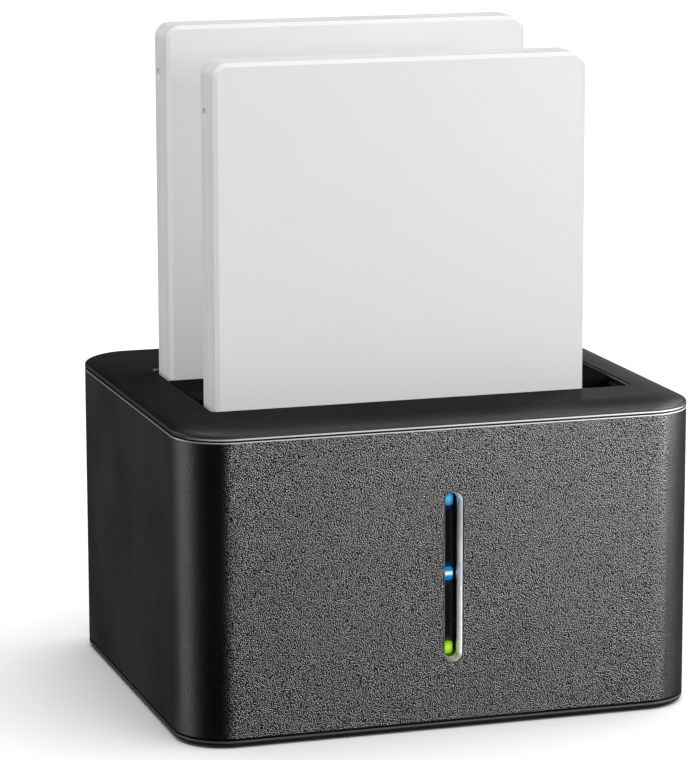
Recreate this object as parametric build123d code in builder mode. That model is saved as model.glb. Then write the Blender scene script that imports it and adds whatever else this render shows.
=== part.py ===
from build123d import *
from math import radians, tan
import os

# Hard drive docking station with two upright 2.5 inch drives standing in its bay.
# Millimetres. The origin is at the bottom centre of the casing, +Z is up and the front faces -Y.

# Drives
drive_width = 69.85
drive_length = 100.2
drive_thickness = 9.5
drive_side_gap = 0.8
drive_face_gap = 0.4
drive_back_gap = 0.7

# Bay well, with a slot for each drive and a deck between them that is almost flush with the cover
bay_free_end = 9.15
deck_width = 21.6
slot_thickness = drive_face_gap + drive_thickness + drive_back_gap
drive_pitch = slot_thickness + deck_width
well_width = drive_side_gap + drive_width + bay_free_end
well_length = drive_pitch + slot_thickness

# Casing, the well and the rims round it
left_rim = 9.5
right_rim = 7.7
front_rim = 15.8
rear_rim = 24.4
case_width = left_rim + well_width + right_rim
case_depth = front_rim + well_length + rear_rim
case_corner_radius = 9.5
case_wall = 2.4
body_height = 53.8
edge_radius = 0.3
seam_gap = 0.2
seam_depth = 0.6
fit_clearance = 0.15
overrun = 1.0

# Base plate and feet
foot_proud = 0.4
foot_radius = 4.9
foot_recess_depth = 0.8
foot_edge_radius = 0.3
lip_height = 1.0
lip_edge_radius = 0.7
floor_thickness = 2.0
upstand_height = 1.4
upstand_thickness = 1.4
vent_width = 1.6
vent_length = 14.0
vent_pitch = 3.6
vent_rows_apart = 26.0
vent_count = 8

# Screws that hold the casing, the boards and the bay
screw_radius = 1.2
screw_hole_clearance = 0.05
screw_pass_clearance = 0.25
screw_head_radius = 2.3
screw_head_height = 1.3
screw_head_clearance = 0.35
screw_slot_width = 0.6
screw_slot_depth = 0.6
boss_wall = 2.45
small_boss_radius = 2.4
base_screw_length = 9.4
short_screw_length = 5.6
corner_screw_inset = 9.0
corner_boss_height = 26.0
base_boss_height = 1.8
base_boss_radius = 4.5
rib_thickness = 1.6
lug_thickness = 2.4
lug_width = 8.0
lug_reach = 6.0
cover_lug_drop = 5.0
cover_lug_side_inset = 15.5
cover_lug_inset = 3.1
bay_lug_drop = 4.2
bay_lug_inset = 15.9
bay_lug_reach = 5.6

# Top cover
cover_edge_height = 0.5
crown_rise = 1.6
crown_span = 7.0
skirt_height = 3.0
skirt_thickness = 1.4
well_edge_radius = 0.5

# Bay insert under the cover
well_corner_radius = 0.8
deck_drop = 0.2
deck_thickness = 1.6
bay_wall = 1.6
bay_floor_thickness = 1.8
bay_floor_level = 19.0
bay_flange = 1.8
slot_lead_in = 0.8
rear_step = 3.8

# Shape of a drive's case and what is in it
drive_corner_radius = 2.6
drive_bevel = 0.7
seat_gap = 0.3
lid_thickness = 4.9
parting_groove = 0.12
drive_wall = 0.8
drive_hole_radius = 1.25
drive_hole_depth = 3.2
drive_hole_low = 14.0
drive_hole_top_inset = 9.6
drive_side_hole_inset = 3.0
drive_back_hole_inset = 4.07
drive_boss_width = 7.2
drive_boss_height = 8.0
drive_post_radius = 1.9
drive_post_height = 2.2
drive_board_side_margin = 7.925
drive_board_thickness = 1.0
drive_board_lift = 4.0
chip_thickness = 1.2
memory_width = 14.0
memory_length = 18.0
memory_spread = 26.0
memory_pitch = 22.0
controller_size = 14.0
controller_gap = 3.2
pin_one_radius = 0.5
pin_one_depth = 0.15

# Plug on a drive and the socket that it stands in
plug_offset = 4.8
plug_width = 38.6
plug_thickness = 5.6
plug_height = 7.6
plug_wall = 0.5
plug_cavity_height = 5.4
plug_depth_from_back = 3.7
tongue_thickness = 1.2
tongue_height = 4.9
signal_tongue_width = 10.4
power_tongue_width = 21.4
tongue_gap = 3.0
contact_pitch = 1.27
signal_contact_count = 7
power_contact_count = 15
contact_width = 0.7
plug_contact_thickness = 0.1
plug_contact_length = 4.2
socket_contact_thickness = 0.15
socket_width = 39.4
socket_thickness = 6.4
socket_shoulder_gap = 0.4
nose_height = 4.7
nose_thickness = 3.8
nose_slack = 0.4
nose_slot_thickness = 2.4
nose_slot_slack = 0.4
socket_window_clearance = 0.5

# Main board
standoff_height = 6.0
standoff_radius = 3.0
board_thickness = 1.6
board_side_margin = 8.1
board_front_margin = 2.5
board_back_margin = 1.7
board_notch_width = 3.2
board_notch_length = 9.6
board_corner_radius = 1.0
front_standoff_side_inset = 6.5
front_standoff_inset = 6.1
rear_standoff_side_inset = 4.5
rear_standoff_inset = 14.9
bridge_chip_size = 10.0
bridge_chip_thickness = 1.0
bridge_chip_x = -11.0
small_chip_width = 5.0
small_chip_length = 4.0
small_chip_thickness = 1.3
coil_size = 6.6
coil_height = 3.0
coil_corner_radius = 1.4
coil_x = 18.0
coil_spacing = 9.0
can_radius = 3.15
can_height = 5.8
can_base_size = 6.6
can_base_height = 0.8
can_edge_radius = 0.4
can_side_inset = 5.5
can_spacing = 11.0
crystal_length = 8.0
crystal_width = 3.6
crystal_height = 2.6
crystal_x = -24.0
chip_cap_length = 2.0
chip_cap_width = 1.25
chip_cap_height = 0.9
chip_cap_column_count = 5
chip_cap_row_count = 2
chip_cap_spacing = 5.0
chip_cap_inset = 8.1
chip_cap_x = -17.0

# Light bar and the lamp board behind it
bar_width = 3.3
bar_end_margin = 11.3
bar_below_middle = 0.4
bar_taper = 0.5
bar_taper_depth = 1.5
bar_land = 0.2
bezel_rim = 0.12
bezel_gap = 0.1
bezel_flange = 1.9
bezel_flange_thickness = 1.6
strip_channel_depth = 1.3
strip_floor_thickness = 1.0
strip_wall = 0.3
strip_clearance = 0.05
lamp_width = 1.7
lamp_height = 2.4
lamp_corner_radius = 0.6
lamp_proud = 0.05
lamp_end_gap = 0.2
lamp_chip_height = 0.8
lamp_chip_width = 1.4
lamp_pipe_length = 2.3
lamp_board_width = 10.0
lamp_board_thickness = 1.0
lamp_board_top_margin = 7.4
lamp_rail_thickness = 1.4
lamp_rail_low = 20.0
lamp_rail_top_margin = 9.4
header_depth = 2.5
header_height = 2.5
header_pin_count = 4
header_pin_spacing = 2.54
header_pin_size = 0.64
header_pin_clearance = 0.08
header_pin_above = 1.2
header_pin_below = 1.4
header_pin_through = 0.8

# Data socket at the back
data_x = -22.0
data_width = 12.2
data_height = 12.8
data_length = 17.0
data_recess = 0.4
data_opening_clearance = 0.3
data_floor = 1.7
data_port_width = 8.6
data_port_height = 7.9
data_port_chamfer = 1.6
data_upper_width = 6.2
data_upper_height = 2.4
data_insert_depth = 4.0
data_tongue_width = 5.6
data_tongue_height = 3.2
data_tongue_length = 9.0
data_tongue_lift = 2.4
data_upper_tongue_width = 5.0
data_upper_tongue_height = 0.9
data_contact_width = 0.8
data_contact_thickness = 0.15
data_contact_length = 7.0
data_contact_pitch_x = 2.5
data_upper_contact_count = 5
data_upper_contact_width = 0.5
data_upper_contact_pitch = 0.95

# Power inlet at the back
inlet_x = 22.0
inlet_width = 9.2
inlet_height = 11.0
inlet_length = 14.0
inlet_bore_radius = 3.2
inlet_bore_depth = 10.0
inlet_bore_level = 6.2
inlet_pin_radius = 1.0
inlet_pin_length = 9.4
inlet_pin_tip_radius = 0.5

# Power switch at the back
switch_x = 0.0
switch_level = 19.4
switch_recess_width = 18.6
switch_recess_height = 14.2
switch_recess_depth = 3.2
switch_recess_wall = 1.6
switch_recess_corner = 1.0
switch_flange_width = 16.4
switch_flange_height = 12.0
switch_flange_thickness = 0.8
switch_frame_width = 14.0
switch_frame_height = 9.6
switch_frame_depth = 7.0
switch_frame_wall = 0.8
switch_back_wall = 1.0
rocker_half_length = 5.3
rocker_face = 2.6
rocker_tilt = 10.0
rocker_under = 0.6
rocker_nub_reach = 2.4
rocker_nub_width = 1.6
rocker_flush_gap = 0.2
rocker_side_clearance = 0.3
rocker_pin_radius = 0.8
rocker_pin_length = 0.4
rocker_pin_end_gap = 0.1
rocker_pin_clearance = 0.06
terminal_width = 2.0
terminal_thickness = 0.5
terminal_reach = 1.8
terminal_pitch = 4.2

# Levels and faces that follow from the sizes above
half_width = case_width / 2
half_depth = case_depth / 2
inner_width = case_width - 2 * case_wall
inner_depth = case_depth - 2 * case_wall
inner_corner_radius = case_corner_radius - case_wall
base_underside = foot_proud
lip_top = base_underside + lip_height
body_bottom = lip_top + seam_gap
body_top = body_bottom + body_height
floor_top = base_underside + floor_thickness
boss_seat = floor_top + base_boss_height
cover_edge_bottom = body_top + seam_gap
crown_base = cover_edge_bottom + cover_edge_height
cover_top = crown_base + crown_rise
screw_hole_radius = screw_radius + screw_hole_clearance
screw_pass_radius = screw_radius + screw_pass_clearance
boss_radius = screw_hole_radius + boss_wall
well_front = -half_depth + front_rim
well_back = well_front + well_length
well_y = (well_front + well_back) / 2
core_x = (left_rim - right_rim) / 2
well_left = core_x - well_width / 2
deck_top = cover_top - deck_drop
drive_x = well_left + drive_side_gap + drive_width / 2
drive_front = well_front + drive_face_gap
plug_x = drive_x + plug_offset
board_bottom = floor_top + standoff_height
board_top = board_bottom + board_thickness
board_width = inner_width - 2 * board_side_margin
board_front = -inner_depth / 2 + board_front_margin
board_back = inner_depth / 2 - board_back_margin
middle_row_y = drive_front + drive_thickness - plug_depth_from_back + drive_pitch / 2
can_x = board_width / 2 - can_side_inset
corner_screw_x = half_width - corner_screw_inset
corner_screw_y = half_depth - corner_screw_inset
cover_lug_x = half_width - cover_lug_side_inset
cover_lug_y = inner_depth / 2 - cover_lug_inset
cover_lug_top = body_top - cover_lug_drop
bay_lug_top = body_top - bay_lug_drop
bay_front = well_front - bay_wall
bay_back = well_back + bay_wall
bay_lug_front_y = bay_front - bay_lug_reach / 2
bay_lug_back_y = bay_back + bay_lug_reach / 2
bar_height = body_height - 2 * bar_end_margin
bar_level = body_bottom + body_height / 2 - bar_below_middle
lamp_spacing = (bar_height - 2 * bar_taper - lamp_height) / 2 - lamp_end_gap
lamp_board_height = body_top - lamp_board_top_margin - board_top
lamp_rail_high = body_top - lamp_rail_top_margin
strip_mouth = -half_depth + bar_taper_depth + bar_land
strip_face = strip_mouth + strip_channel_depth
lamp_face = strip_face - lamp_proud
lamp_board_front = lamp_face + lamp_pipe_length + lamp_chip_height
lamp_board_back = lamp_board_front + lamp_board_thickness
header_y = lamp_board_back + header_depth / 2
header_pin_level = board_top + header_height + header_pin_above - header_pin_size / 2
header_hole = header_pin_size + 2 * header_pin_clearance
data_mouth = half_depth - data_recess
inlet_level = board_top + inlet_bore_level
switch_panel = half_depth - switch_recess_depth
rocker_pivot_y = switch_panel + switch_flange_thickness + rocker_flush_gap - rocker_face

corner_places = [(x, y) for x in (-corner_screw_x, corner_screw_x) for y in (-corner_screw_y, corner_screw_y)]
standoff_places = [
    (side * (board_width / 2 - side_inset), y)
    for side_inset, y in (
        (front_standoff_side_inset, board_front + front_standoff_inset),
        (rear_standoff_side_inset, board_back - rear_standoff_inset),
    )
    for side in (-1, 1)
]
cover_lug_places = [(x, y) for x in (-cover_lug_x, cover_lug_x) for y in (-cover_lug_y, cover_lug_y)]
bay_lug_places = [
    (core_x + side * (well_width / 2 - bay_lug_inset), y)
    for side in (-1, 1)
    for y in (bay_lug_front_y, bay_lug_back_y)
]
bays = [
    # name, front face of the drive, floor of the bay
    ("front", drive_front, bay_floor_level),
    ("rear", drive_front + drive_pitch, bay_floor_level + rear_step),
]
lamps = [
    ("upper_lamp", bar_level + lamp_spacing),
    ("middle_lamp", bar_level),
    ("lower_lamp", bar_level - lamp_spacing),
]
stand_up = (Align.CENTER, Align.CENTER, Align.MIN)
hang_down = (Align.CENTER, Align.CENTER, Align.MAX)
quarter_turn = 90


def facing_front(y):
    """Upright plane at depth y, whose sketch has X to the right and Z up."""
    return Plane.XZ.offset(-y)


def level(z):
    """Flat plane at height z."""
    return Plane.XY.offset(z)


def add_screws(places, seat, length, upwards=True):
    """Slotted pan head screws whose heads bear on the level seat."""
    way = 1 if upwards else -1
    shank_align = stand_up if upwards else hang_down
    head_align = hang_down if upwards else stand_up
    with Locations(*[(x, y, seat) for x, y in places]):
        Cylinder(screw_radius, length, align=shank_align)
        Cylinder(screw_head_radius, screw_head_height, align=head_align)
    with Locations(*[(x, y, seat - way * screw_head_height) for x, y in places]):
        Box(
            2 * screw_head_radius,
            screw_slot_width,
            screw_slot_depth,
            align=shank_align,
            mode=Mode.SUBTRACT,
        )


def contact_columns():
    """X places of the plug's and the socket's contacts, signal group first."""
    left = plug_x - (signal_tongue_width + tongue_gap + power_tongue_width) / 2
    signal_middle = left + signal_tongue_width / 2
    power_middle = left + signal_tongue_width + tongue_gap + power_tongue_width / 2
    columns = []
    for middle, count in ((signal_middle, signal_contact_count), (power_middle, power_contact_count)):
        columns += [middle + (i - (count - 1) / 2) * contact_pitch for i in range(count)]
    return columns


def tongue_places():
    """Middle and width of the signal tongue and the power tongue."""
    left = plug_x - (signal_tongue_width + tongue_gap + power_tongue_width) / 2
    power_left = left + signal_tongue_width + tongue_gap
    return [
        (left + signal_tongue_width / 2, signal_tongue_width),
        (power_left + power_tongue_width / 2, power_tongue_width),
    ]


os.makedirs("parts", exist_ok=True)

# Base plate with the thin lip that shows under the body
with BuildPart() as base_plate:
    with BuildSketch(level(base_underside)):
        RectangleRounded(case_width, case_depth, case_corner_radius)
    extrude(amount=lip_height)
    fillet(base_plate.faces().sort_by(Axis.Z)[0].outer_wire().edges(), lip_edge_radius)
    with BuildSketch(level(lip_top)):
        RectangleRounded(
            case_width - 2 * seam_depth, case_depth - 2 * seam_depth, case_corner_radius - seam_depth
        )
    extrude(amount=seam_gap)
    plate_width = inner_width - 2 * fit_clearance
    plate_depth = inner_depth - 2 * fit_clearance
    plate_radius = inner_corner_radius - fit_clearance
    with BuildSketch(level(body_bottom)):
        RectangleRounded(plate_width, plate_depth, plate_radius)
    extrude(amount=floor_top - body_bottom)
    with BuildSketch(level(floor_top)):
        RectangleRounded(plate_width, plate_depth, plate_radius)
        RectangleRounded(
            plate_width - 2 * upstand_thickness,
            plate_depth - 2 * upstand_thickness,
            plate_radius - upstand_thickness,
            mode=Mode.SUBTRACT,
        )
    extrude(amount=upstand_height)
    with BuildSketch(level(floor_top)):
        with Locations(*corner_places):
            Circle(base_boss_radius)
    extrude(amount=base_boss_height)
    with BuildSketch(level(floor_top)):
        with Locations(*standoff_places):
            Circle(standoff_radius)
    extrude(amount=standoff_height)
    with BuildSketch(level(base_underside)):
        with Locations(*corner_places):
            Circle(foot_radius + fit_clearance)
    extrude(amount=foot_recess_depth, mode=Mode.SUBTRACT)
    head_pocket_top = base_underside + foot_recess_depth + screw_head_height
    with BuildSketch(level(base_underside)):
        with Locations(*corner_places):
            Circle(screw_head_radius + screw_head_clearance)
    extrude(amount=head_pocket_top - base_underside, mode=Mode.SUBTRACT)
    with BuildSketch(level(base_underside)):
        with Locations(*corner_places):
            Circle(screw_pass_radius)
    extrude(amount=boss_seat - base_underside, mode=Mode.SUBTRACT)
    with BuildSketch(level(floor_top)):
        with Locations(*standoff_places):
            Circle(screw_hole_radius)
    extrude(amount=standoff_height, mode=Mode.SUBTRACT)
    with BuildSketch(level(base_underside)):
        with GridLocations(vent_pitch, vent_rows_apart, vent_count, 2):
            SlotOverall(vent_length, vent_width, rotation=quarter_turn)
    extrude(amount=floor_thickness, mode=Mode.SUBTRACT)
base_plate.part.label = "base_plate"
export_step(base_plate.part, "parts/base_plate.step")

# Four round rubber feet that cover the base screws
with BuildPart() as rubber_feet:
    with BuildSketch(level(0)):
        with Locations(*corner_places):
            Circle(foot_radius)
    extrude(amount=foot_proud + foot_recess_depth)
    fillet(rubber_feet.edges().group_by(Axis.Z)[0], foot_edge_radius)
rubber_feet.part.label = "rubber_feet"
export_step(rubber_feet.part, "parts/rubber_feet.step")

# Four screws that hold the base plate to the body
with BuildPart() as base_screws:
    add_screws(corner_places, head_pocket_top, base_screw_length)
base_screws.part.label = "base_screws"
export_step(base_screws.part, "parts/base_screws.step")

# Body, the textured sleeve with the light bar's slot in front and the sockets' openings behind
with BuildPart() as body_shell:
    with BuildSketch(level(body_bottom)):
        RectangleRounded(case_width, case_depth, case_corner_radius)
        RectangleRounded(inner_width, inner_depth, inner_corner_radius, mode=Mode.SUBTRACT)
    extrude(amount=body_height)
    fillet(body_shell.faces().sort_by(Axis.Z)[-1].outer_wire().edges(), edge_radius)
    fillet(body_shell.faces().sort_by(Axis.Z)[0].outer_wire().edges(), edge_radius)
    # Screw bosses in the corners, each joined to both walls by a rib
    rib_out = inner_width / 2 - corner_screw_x
    rib_back = inner_depth / 2 - corner_screw_y
    for x, y in corner_places:
        side = 1 if x > 0 else -1
        end = 1 if y > 0 else -1
        with BuildSketch(level(boss_seat)):
            with Locations((x, y)):
                Circle(boss_radius)
            with Locations((x + side * rib_out / 2, y)):
                Rectangle(rib_out, rib_thickness)
            with Locations((x, y + end * rib_back / 2)):
                Rectangle(rib_thickness, rib_back)
        extrude(amount=corner_boss_height)
    # Lugs that take the cover screws
    with BuildSketch(level(cover_lug_top)):
        for x, y in cover_lug_places:
            end = 1 if y > 0 else -1
            with Locations((x, end * (inner_depth - lug_reach) / 2)):
                Rectangle(lug_width, lug_reach)
    extrude(amount=-lug_thickness)
    with BuildSketch(level(boss_seat)):
        with Locations(*corner_places):
            Circle(screw_hole_radius)
    extrude(amount=base_screw_length, mode=Mode.SUBTRACT)
    with BuildSketch(level(cover_lug_top)):
        with Locations(*cover_lug_places):
            Circle(screw_pass_radius)
    extrude(amount=-lug_thickness, mode=Mode.SUBTRACT)
    # Rails that hold the lamp board's sides
    rail_reach = lamp_board_back + inner_depth / 2 + seam_depth
    rail_x = lamp_board_width / 2 + fit_clearance + lamp_rail_thickness / 2
    with BuildSketch(level(lamp_rail_low)):
        with Locations(*[(core_x + side * rail_x, (rail_reach - inner_depth) / 2) for side in (-1, 1)]):
            Rectangle(lamp_rail_thickness, rail_reach)
    extrude(amount=lamp_rail_high - lamp_rail_low)
    # Slot of the light bar
    slot_slack = 2 * (bezel_rim + bezel_gap)
    with BuildSketch(facing_front(-half_depth)):
        with Locations((core_x, bar_level)):
            SlotOverall(bar_height + slot_slack, bar_width + slot_slack, rotation=quarter_turn)
    extrude(amount=-case_wall, mode=Mode.SUBTRACT)
    # Thickened wall with the recess of the power switch
    recess_floor = switch_recess_depth + switch_recess_wall
    with BuildSketch(facing_front(half_depth - recess_floor)):
        with Locations((switch_x, switch_level)):
            RectangleRounded(
                switch_recess_width + 2 * switch_recess_wall,
                switch_recess_height + 2 * switch_recess_wall,
                switch_recess_corner + switch_recess_wall,
            )
    extrude(amount=-(recess_floor - case_wall / 2))
    with BuildSketch(facing_front(switch_panel)):
        with Locations((switch_x, switch_level)):
            RectangleRounded(switch_recess_width, switch_recess_height, switch_recess_corner)
    extrude(amount=-(switch_recess_depth + overrun), mode=Mode.SUBTRACT)
    # Openings for the switch, the data socket and the power inlet
    with BuildSketch(facing_front(half_depth - recess_floor - overrun)):
        with Locations((switch_x, switch_level)):
            Rectangle(
                switch_frame_width + 2 * data_opening_clearance,
                switch_frame_height + 2 * data_opening_clearance,
            )
        with Locations((data_x, board_top + data_height / 2)):
            Rectangle(data_width + 2 * data_opening_clearance, data_height + 2 * data_opening_clearance)
        with Locations((inlet_x, board_top + inlet_height / 2)):
            Rectangle(inlet_width + 2 * data_opening_clearance, inlet_height + 2 * data_opening_clearance)
    extrude(amount=-(recess_floor + 2 * overrun), mode=Mode.SUBTRACT)
body_shell.part.label = "body_shell"
export_step(body_shell.part, "parts/body_shell.step")

# Satin top cover with its crowned rim and the opening of the bay
with BuildPart() as top_cover:
    with BuildSketch(level(body_top)):
        RectangleRounded(
            case_width - 2 * seam_depth, case_depth - 2 * seam_depth, case_corner_radius - seam_depth
        )
    extrude(amount=seam_gap)
    with BuildSketch(level(cover_edge_bottom)):
        RectangleRounded(case_width, case_depth, case_corner_radius)
    extrude(amount=cover_edge_height)
    # The crown, a quarter ellipse carried round half of the rim and mirrored
    with BuildLine(level(crown_base)) as rim_path:
        FilletPolyline(
            (0, -half_depth),
            (half_width, -half_depth),
            (half_width, half_depth),
            (0, half_depth),
            radius=case_corner_radius,
        )
    with BuildSketch(Plane(origin=(0, -half_depth, crown_base), x_dir=(0, 1, 0), z_dir=(1, 0, 0))):
        with BuildLine():
            centre = (crown_span, 0)
            Line((0, 0), centre)
            Line(centre, (crown_span, crown_rise))
            EllipticalCenterArc(centre, crown_span, crown_rise, quarter_turn, arc_size=quarter_turn)
        make_face()
    sweep(path=rim_path.line)
    mirror(about=Plane.YZ)
    with BuildSketch(level(crown_base)):
        RectangleRounded(
            case_width - 2 * crown_span, case_depth - 2 * crown_span, case_corner_radius - crown_span
        )
    extrude(amount=crown_rise)
    # Skirt that locates the cover inside the body
    with BuildSketch(level(body_top)):
        RectangleRounded(plate_width, plate_depth, plate_radius)
        RectangleRounded(
            plate_width - 2 * skirt_thickness,
            plate_depth - 2 * skirt_thickness,
            plate_radius - skirt_thickness,
            mode=Mode.SUBTRACT,
        )
    extrude(amount=-skirt_height)
    # Bosses that take the cover screws and the bay screws
    with BuildSketch(level(cover_lug_top)):
        with Locations(*cover_lug_places):
            Circle(small_boss_radius)
    extrude(amount=cover_lug_drop)
    with BuildSketch(level(bay_lug_top)):
        with Locations(*bay_lug_places):
            Circle(small_boss_radius)
    extrude(amount=bay_lug_drop)
    with BuildSketch(level(cover_lug_top)):
        with Locations(*cover_lug_places):
            Circle(screw_hole_radius)
    extrude(amount=cover_lug_drop, mode=Mode.SUBTRACT)
    with BuildSketch(level(bay_lug_top)):
        with Locations(*bay_lug_places):
            Circle(screw_hole_radius)
    extrude(amount=bay_lug_drop, mode=Mode.SUBTRACT)
    with BuildSketch(level(body_top)):
        with Locations((core_x, well_y)):
            RectangleRounded(well_width, well_length, well_corner_radius)
    extrude(amount=cover_top - body_top, mode=Mode.SUBTRACT)
    fillet(top_cover.faces().sort_by(Axis.Z)[-1].inner_wires()[0].edges(), well_edge_radius)
top_cover.part.label = "top_cover"
export_step(top_cover.part, "parts/top_cover.step")

# Screws that draw the cover down on the body
with BuildPart() as cover_screws:
    add_screws(cover_lug_places, cover_lug_top - lug_thickness, short_screw_length)
cover_screws.part.label = "cover_screws"
export_step(cover_screws.part, "parts/cover_screws.step")

# Bay insert with one pocket for each drive and a deck between them
bay_outer_width = well_width + 2 * bay_wall
with BuildPart() as bay_insert:
    # Plate that closes the well under the cover, with the deck raised on it and hollow from below
    with BuildSketch(level(body_top)):
        with Locations((core_x, well_y)):
            Rectangle(bay_outer_width + 2 * bay_flange, well_length + 2 * (bay_wall + bay_flange))
        with Locations(*bay_lug_places):
            Circle(small_boss_radius + fit_clearance, mode=Mode.SUBTRACT)
    extrude(amount=-bay_wall)
    with BuildSketch(level(body_top)):
        with Locations((core_x, well_y)):
            Rectangle(well_width - 2 * fit_clearance, deck_width)
    extrude(amount=deck_top - body_top)
    with BuildSketch(level(body_top - bay_wall)):
        with Locations((core_x, well_y)):
            Rectangle(well_width - 2 * (fit_clearance + bay_wall), deck_width - 2 * bay_wall)
    extrude(amount=deck_top - deck_thickness - body_top + bay_wall, mode=Mode.SUBTRACT)
    # Lugs for the screws that hold it under the cover
    with BuildSketch(level(bay_lug_top)):
        with Locations(*bay_lug_places):
            Rectangle(lug_width, bay_lug_reach)
    extrude(amount=-lug_thickness)
    # Pockets of the two drives
    for name, face_y, floor_level in bays:
        pocket_y = face_y - drive_face_gap + slot_thickness / 2
        with BuildSketch(level(floor_level - bay_floor_thickness)):
            with Locations((core_x, pocket_y)):
                Rectangle(bay_outer_width, slot_thickness + 2 * bay_wall)
        extrude(amount=body_top - floor_level + bay_floor_thickness)
    for name, face_y, floor_level in bays:
        pocket_y = face_y - drive_face_gap + slot_thickness / 2
        with BuildSketch(level(floor_level)):
            with Locations((core_x, pocket_y)):
                Rectangle(well_width, slot_thickness)
        extrude(amount=body_top - floor_level, mode=Mode.SUBTRACT)
        # Window for the socket
        socket_y = face_y + drive_thickness - plug_depth_from_back
        with BuildSketch(level(floor_level)):
            with Locations((plug_x, socket_y)):
                Rectangle(
                    socket_width + 2 * socket_window_clearance, socket_thickness + 2 * socket_window_clearance
                )
        extrude(amount=-bay_floor_thickness, mode=Mode.SUBTRACT)
    # Lead-in on the deck's edges beside the slots
    deck_edges = (
        bay_insert.edges()
        .filter_by(Axis.X)
        .filter_by_position(Axis.Z, deck_top - seam_gap, deck_top + seam_gap)
        .filter_by_position(Axis.Y, well_front + slot_lead_in, well_back - slot_lead_in)
    )
    chamfer(deck_edges, slot_lead_in)
    with BuildSketch(level(bay_lug_top)):
        with Locations(*bay_lug_places):
            Circle(screw_pass_radius)
    extrude(amount=-lug_thickness, mode=Mode.SUBTRACT)
bay_insert.part.label = "bay_insert"
export_step(bay_insert.part, "parts/bay_insert.step")

# Screws that hold the bay insert under the cover
with BuildPart() as bay_screws:
    add_screws(bay_lug_places, bay_lug_top - lug_thickness, short_screw_length)
bay_screws.part.label = "bay_screws"
export_step(bay_screws.part, "parts/bay_screws.step")

# Main board, notched round the corner bosses, with holes for its screws and for the header's pins
board_y = (board_front + board_back) / 2
board_length = board_back - board_front
with BuildPart() as main_board:
    with BuildSketch(level(board_bottom)):
        with Locations((0, board_y)):
            RectangleRounded(board_width, board_length, board_corner_radius)
        for side in (-1, 1):
            with Locations((side * board_width / 2, board_front), (side * board_width / 2, board_back)):
                Rectangle(2 * board_notch_width, 2 * board_notch_length, mode=Mode.SUBTRACT)
        with Locations(*standoff_places):
            Circle(screw_pass_radius, mode=Mode.SUBTRACT)
        with Locations((core_x, header_y)):
            with GridLocations(header_pin_spacing, 0, header_pin_count, 1):
                Rectangle(header_hole, header_hole, mode=Mode.SUBTRACT)
    extrude(amount=board_thickness)
main_board.part.label = "main_board"
export_step(main_board.part, "parts/main_board.step")

# Screws that hold the main board on the base plate's standoffs
with BuildPart() as board_screws:
    add_screws(standoff_places, board_top, short_screw_length, upwards=False)
board_screws.part.label = "board_screws"
export_step(board_screws.part, "parts/board_screws.step")

# Chips on the main board
with BuildPart() as bridge_chip:
    with BuildSketch(level(board_top)):
        with Locations((bridge_chip_x, middle_row_y)):
            Rectangle(bridge_chip_size, bridge_chip_size)
    extrude(amount=bridge_chip_thickness)
    mark_inset = bridge_chip_size / 2 - 3 * pin_one_radius
    with BuildSketch(level(board_top + bridge_chip_thickness)):
        with Locations((bridge_chip_x - mark_inset, middle_row_y + mark_inset)):
            Circle(pin_one_radius)
    extrude(amount=-pin_one_depth, mode=Mode.SUBTRACT)
bridge_chip.part.label = "bridge_chip"
export_step(bridge_chip.part, "parts/bridge_chip.step")

with BuildPart() as regulator_chips:
    with BuildSketch(level(board_top)):
        with Locations((coil_x - coil_spacing, middle_row_y)):
            with GridLocations(0, 2 * small_chip_length, 1, 2):
                Rectangle(small_chip_width, small_chip_length)
    extrude(amount=small_chip_thickness)
regulator_chips.part.label = "regulator_chips"
export_step(regulator_chips.part, "parts/regulator_chips.step")

with BuildPart() as power_coils:
    with BuildSketch(level(board_top)):
        with Locations((coil_x, middle_row_y)):
            with GridLocations(0, coil_spacing, 1, 2):
                RectangleRounded(coil_size, coil_size, coil_corner_radius)
    extrude(amount=coil_height)
power_coils.part.label = "power_coils"
export_step(power_coils.part, "parts/power_coils.step")

with BuildPart() as capacitor_cans:
    with BuildSketch(level(board_top)):
        with Locations((can_x, middle_row_y)):
            with GridLocations(0, can_spacing, 1, 2):
                Rectangle(can_base_size, can_base_size)
    extrude(amount=can_base_height)
    with BuildSketch(level(board_top + can_base_height)):
        with Locations((can_x, middle_row_y)):
            with GridLocations(0, can_spacing, 1, 2):
                Circle(can_radius)
    extrude(amount=can_height - can_base_height)
    fillet(capacitor_cans.edges().group_by(Axis.Z)[-1], can_edge_radius)
capacitor_cans.part.label = "capacitor_cans"
export_step(capacitor_cans.part, "parts/capacitor_cans.step")

with BuildPart() as clock_crystal:
    with BuildSketch(level(board_top)):
        with Locations((crystal_x, middle_row_y)):
            SlotOverall(crystal_length, crystal_width)
    extrude(amount=crystal_height)
clock_crystal.part.label = "clock_crystal"
export_step(clock_crystal.part, "parts/clock_crystal.step")

with BuildPart() as chip_capacitors:
    with BuildSketch(level(board_top)):
        with Locations((chip_cap_x, board_front + chip_cap_inset)):
            with GridLocations(chip_cap_spacing, chip_cap_spacing, chip_cap_column_count, chip_cap_row_count):
                Rectangle(chip_cap_length, chip_cap_width)
    extrude(amount=chip_cap_height)
chip_capacitors.part.label = "chip_capacitors"
export_step(chip_capacitors.part, "parts/chip_capacitors.step")

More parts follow.
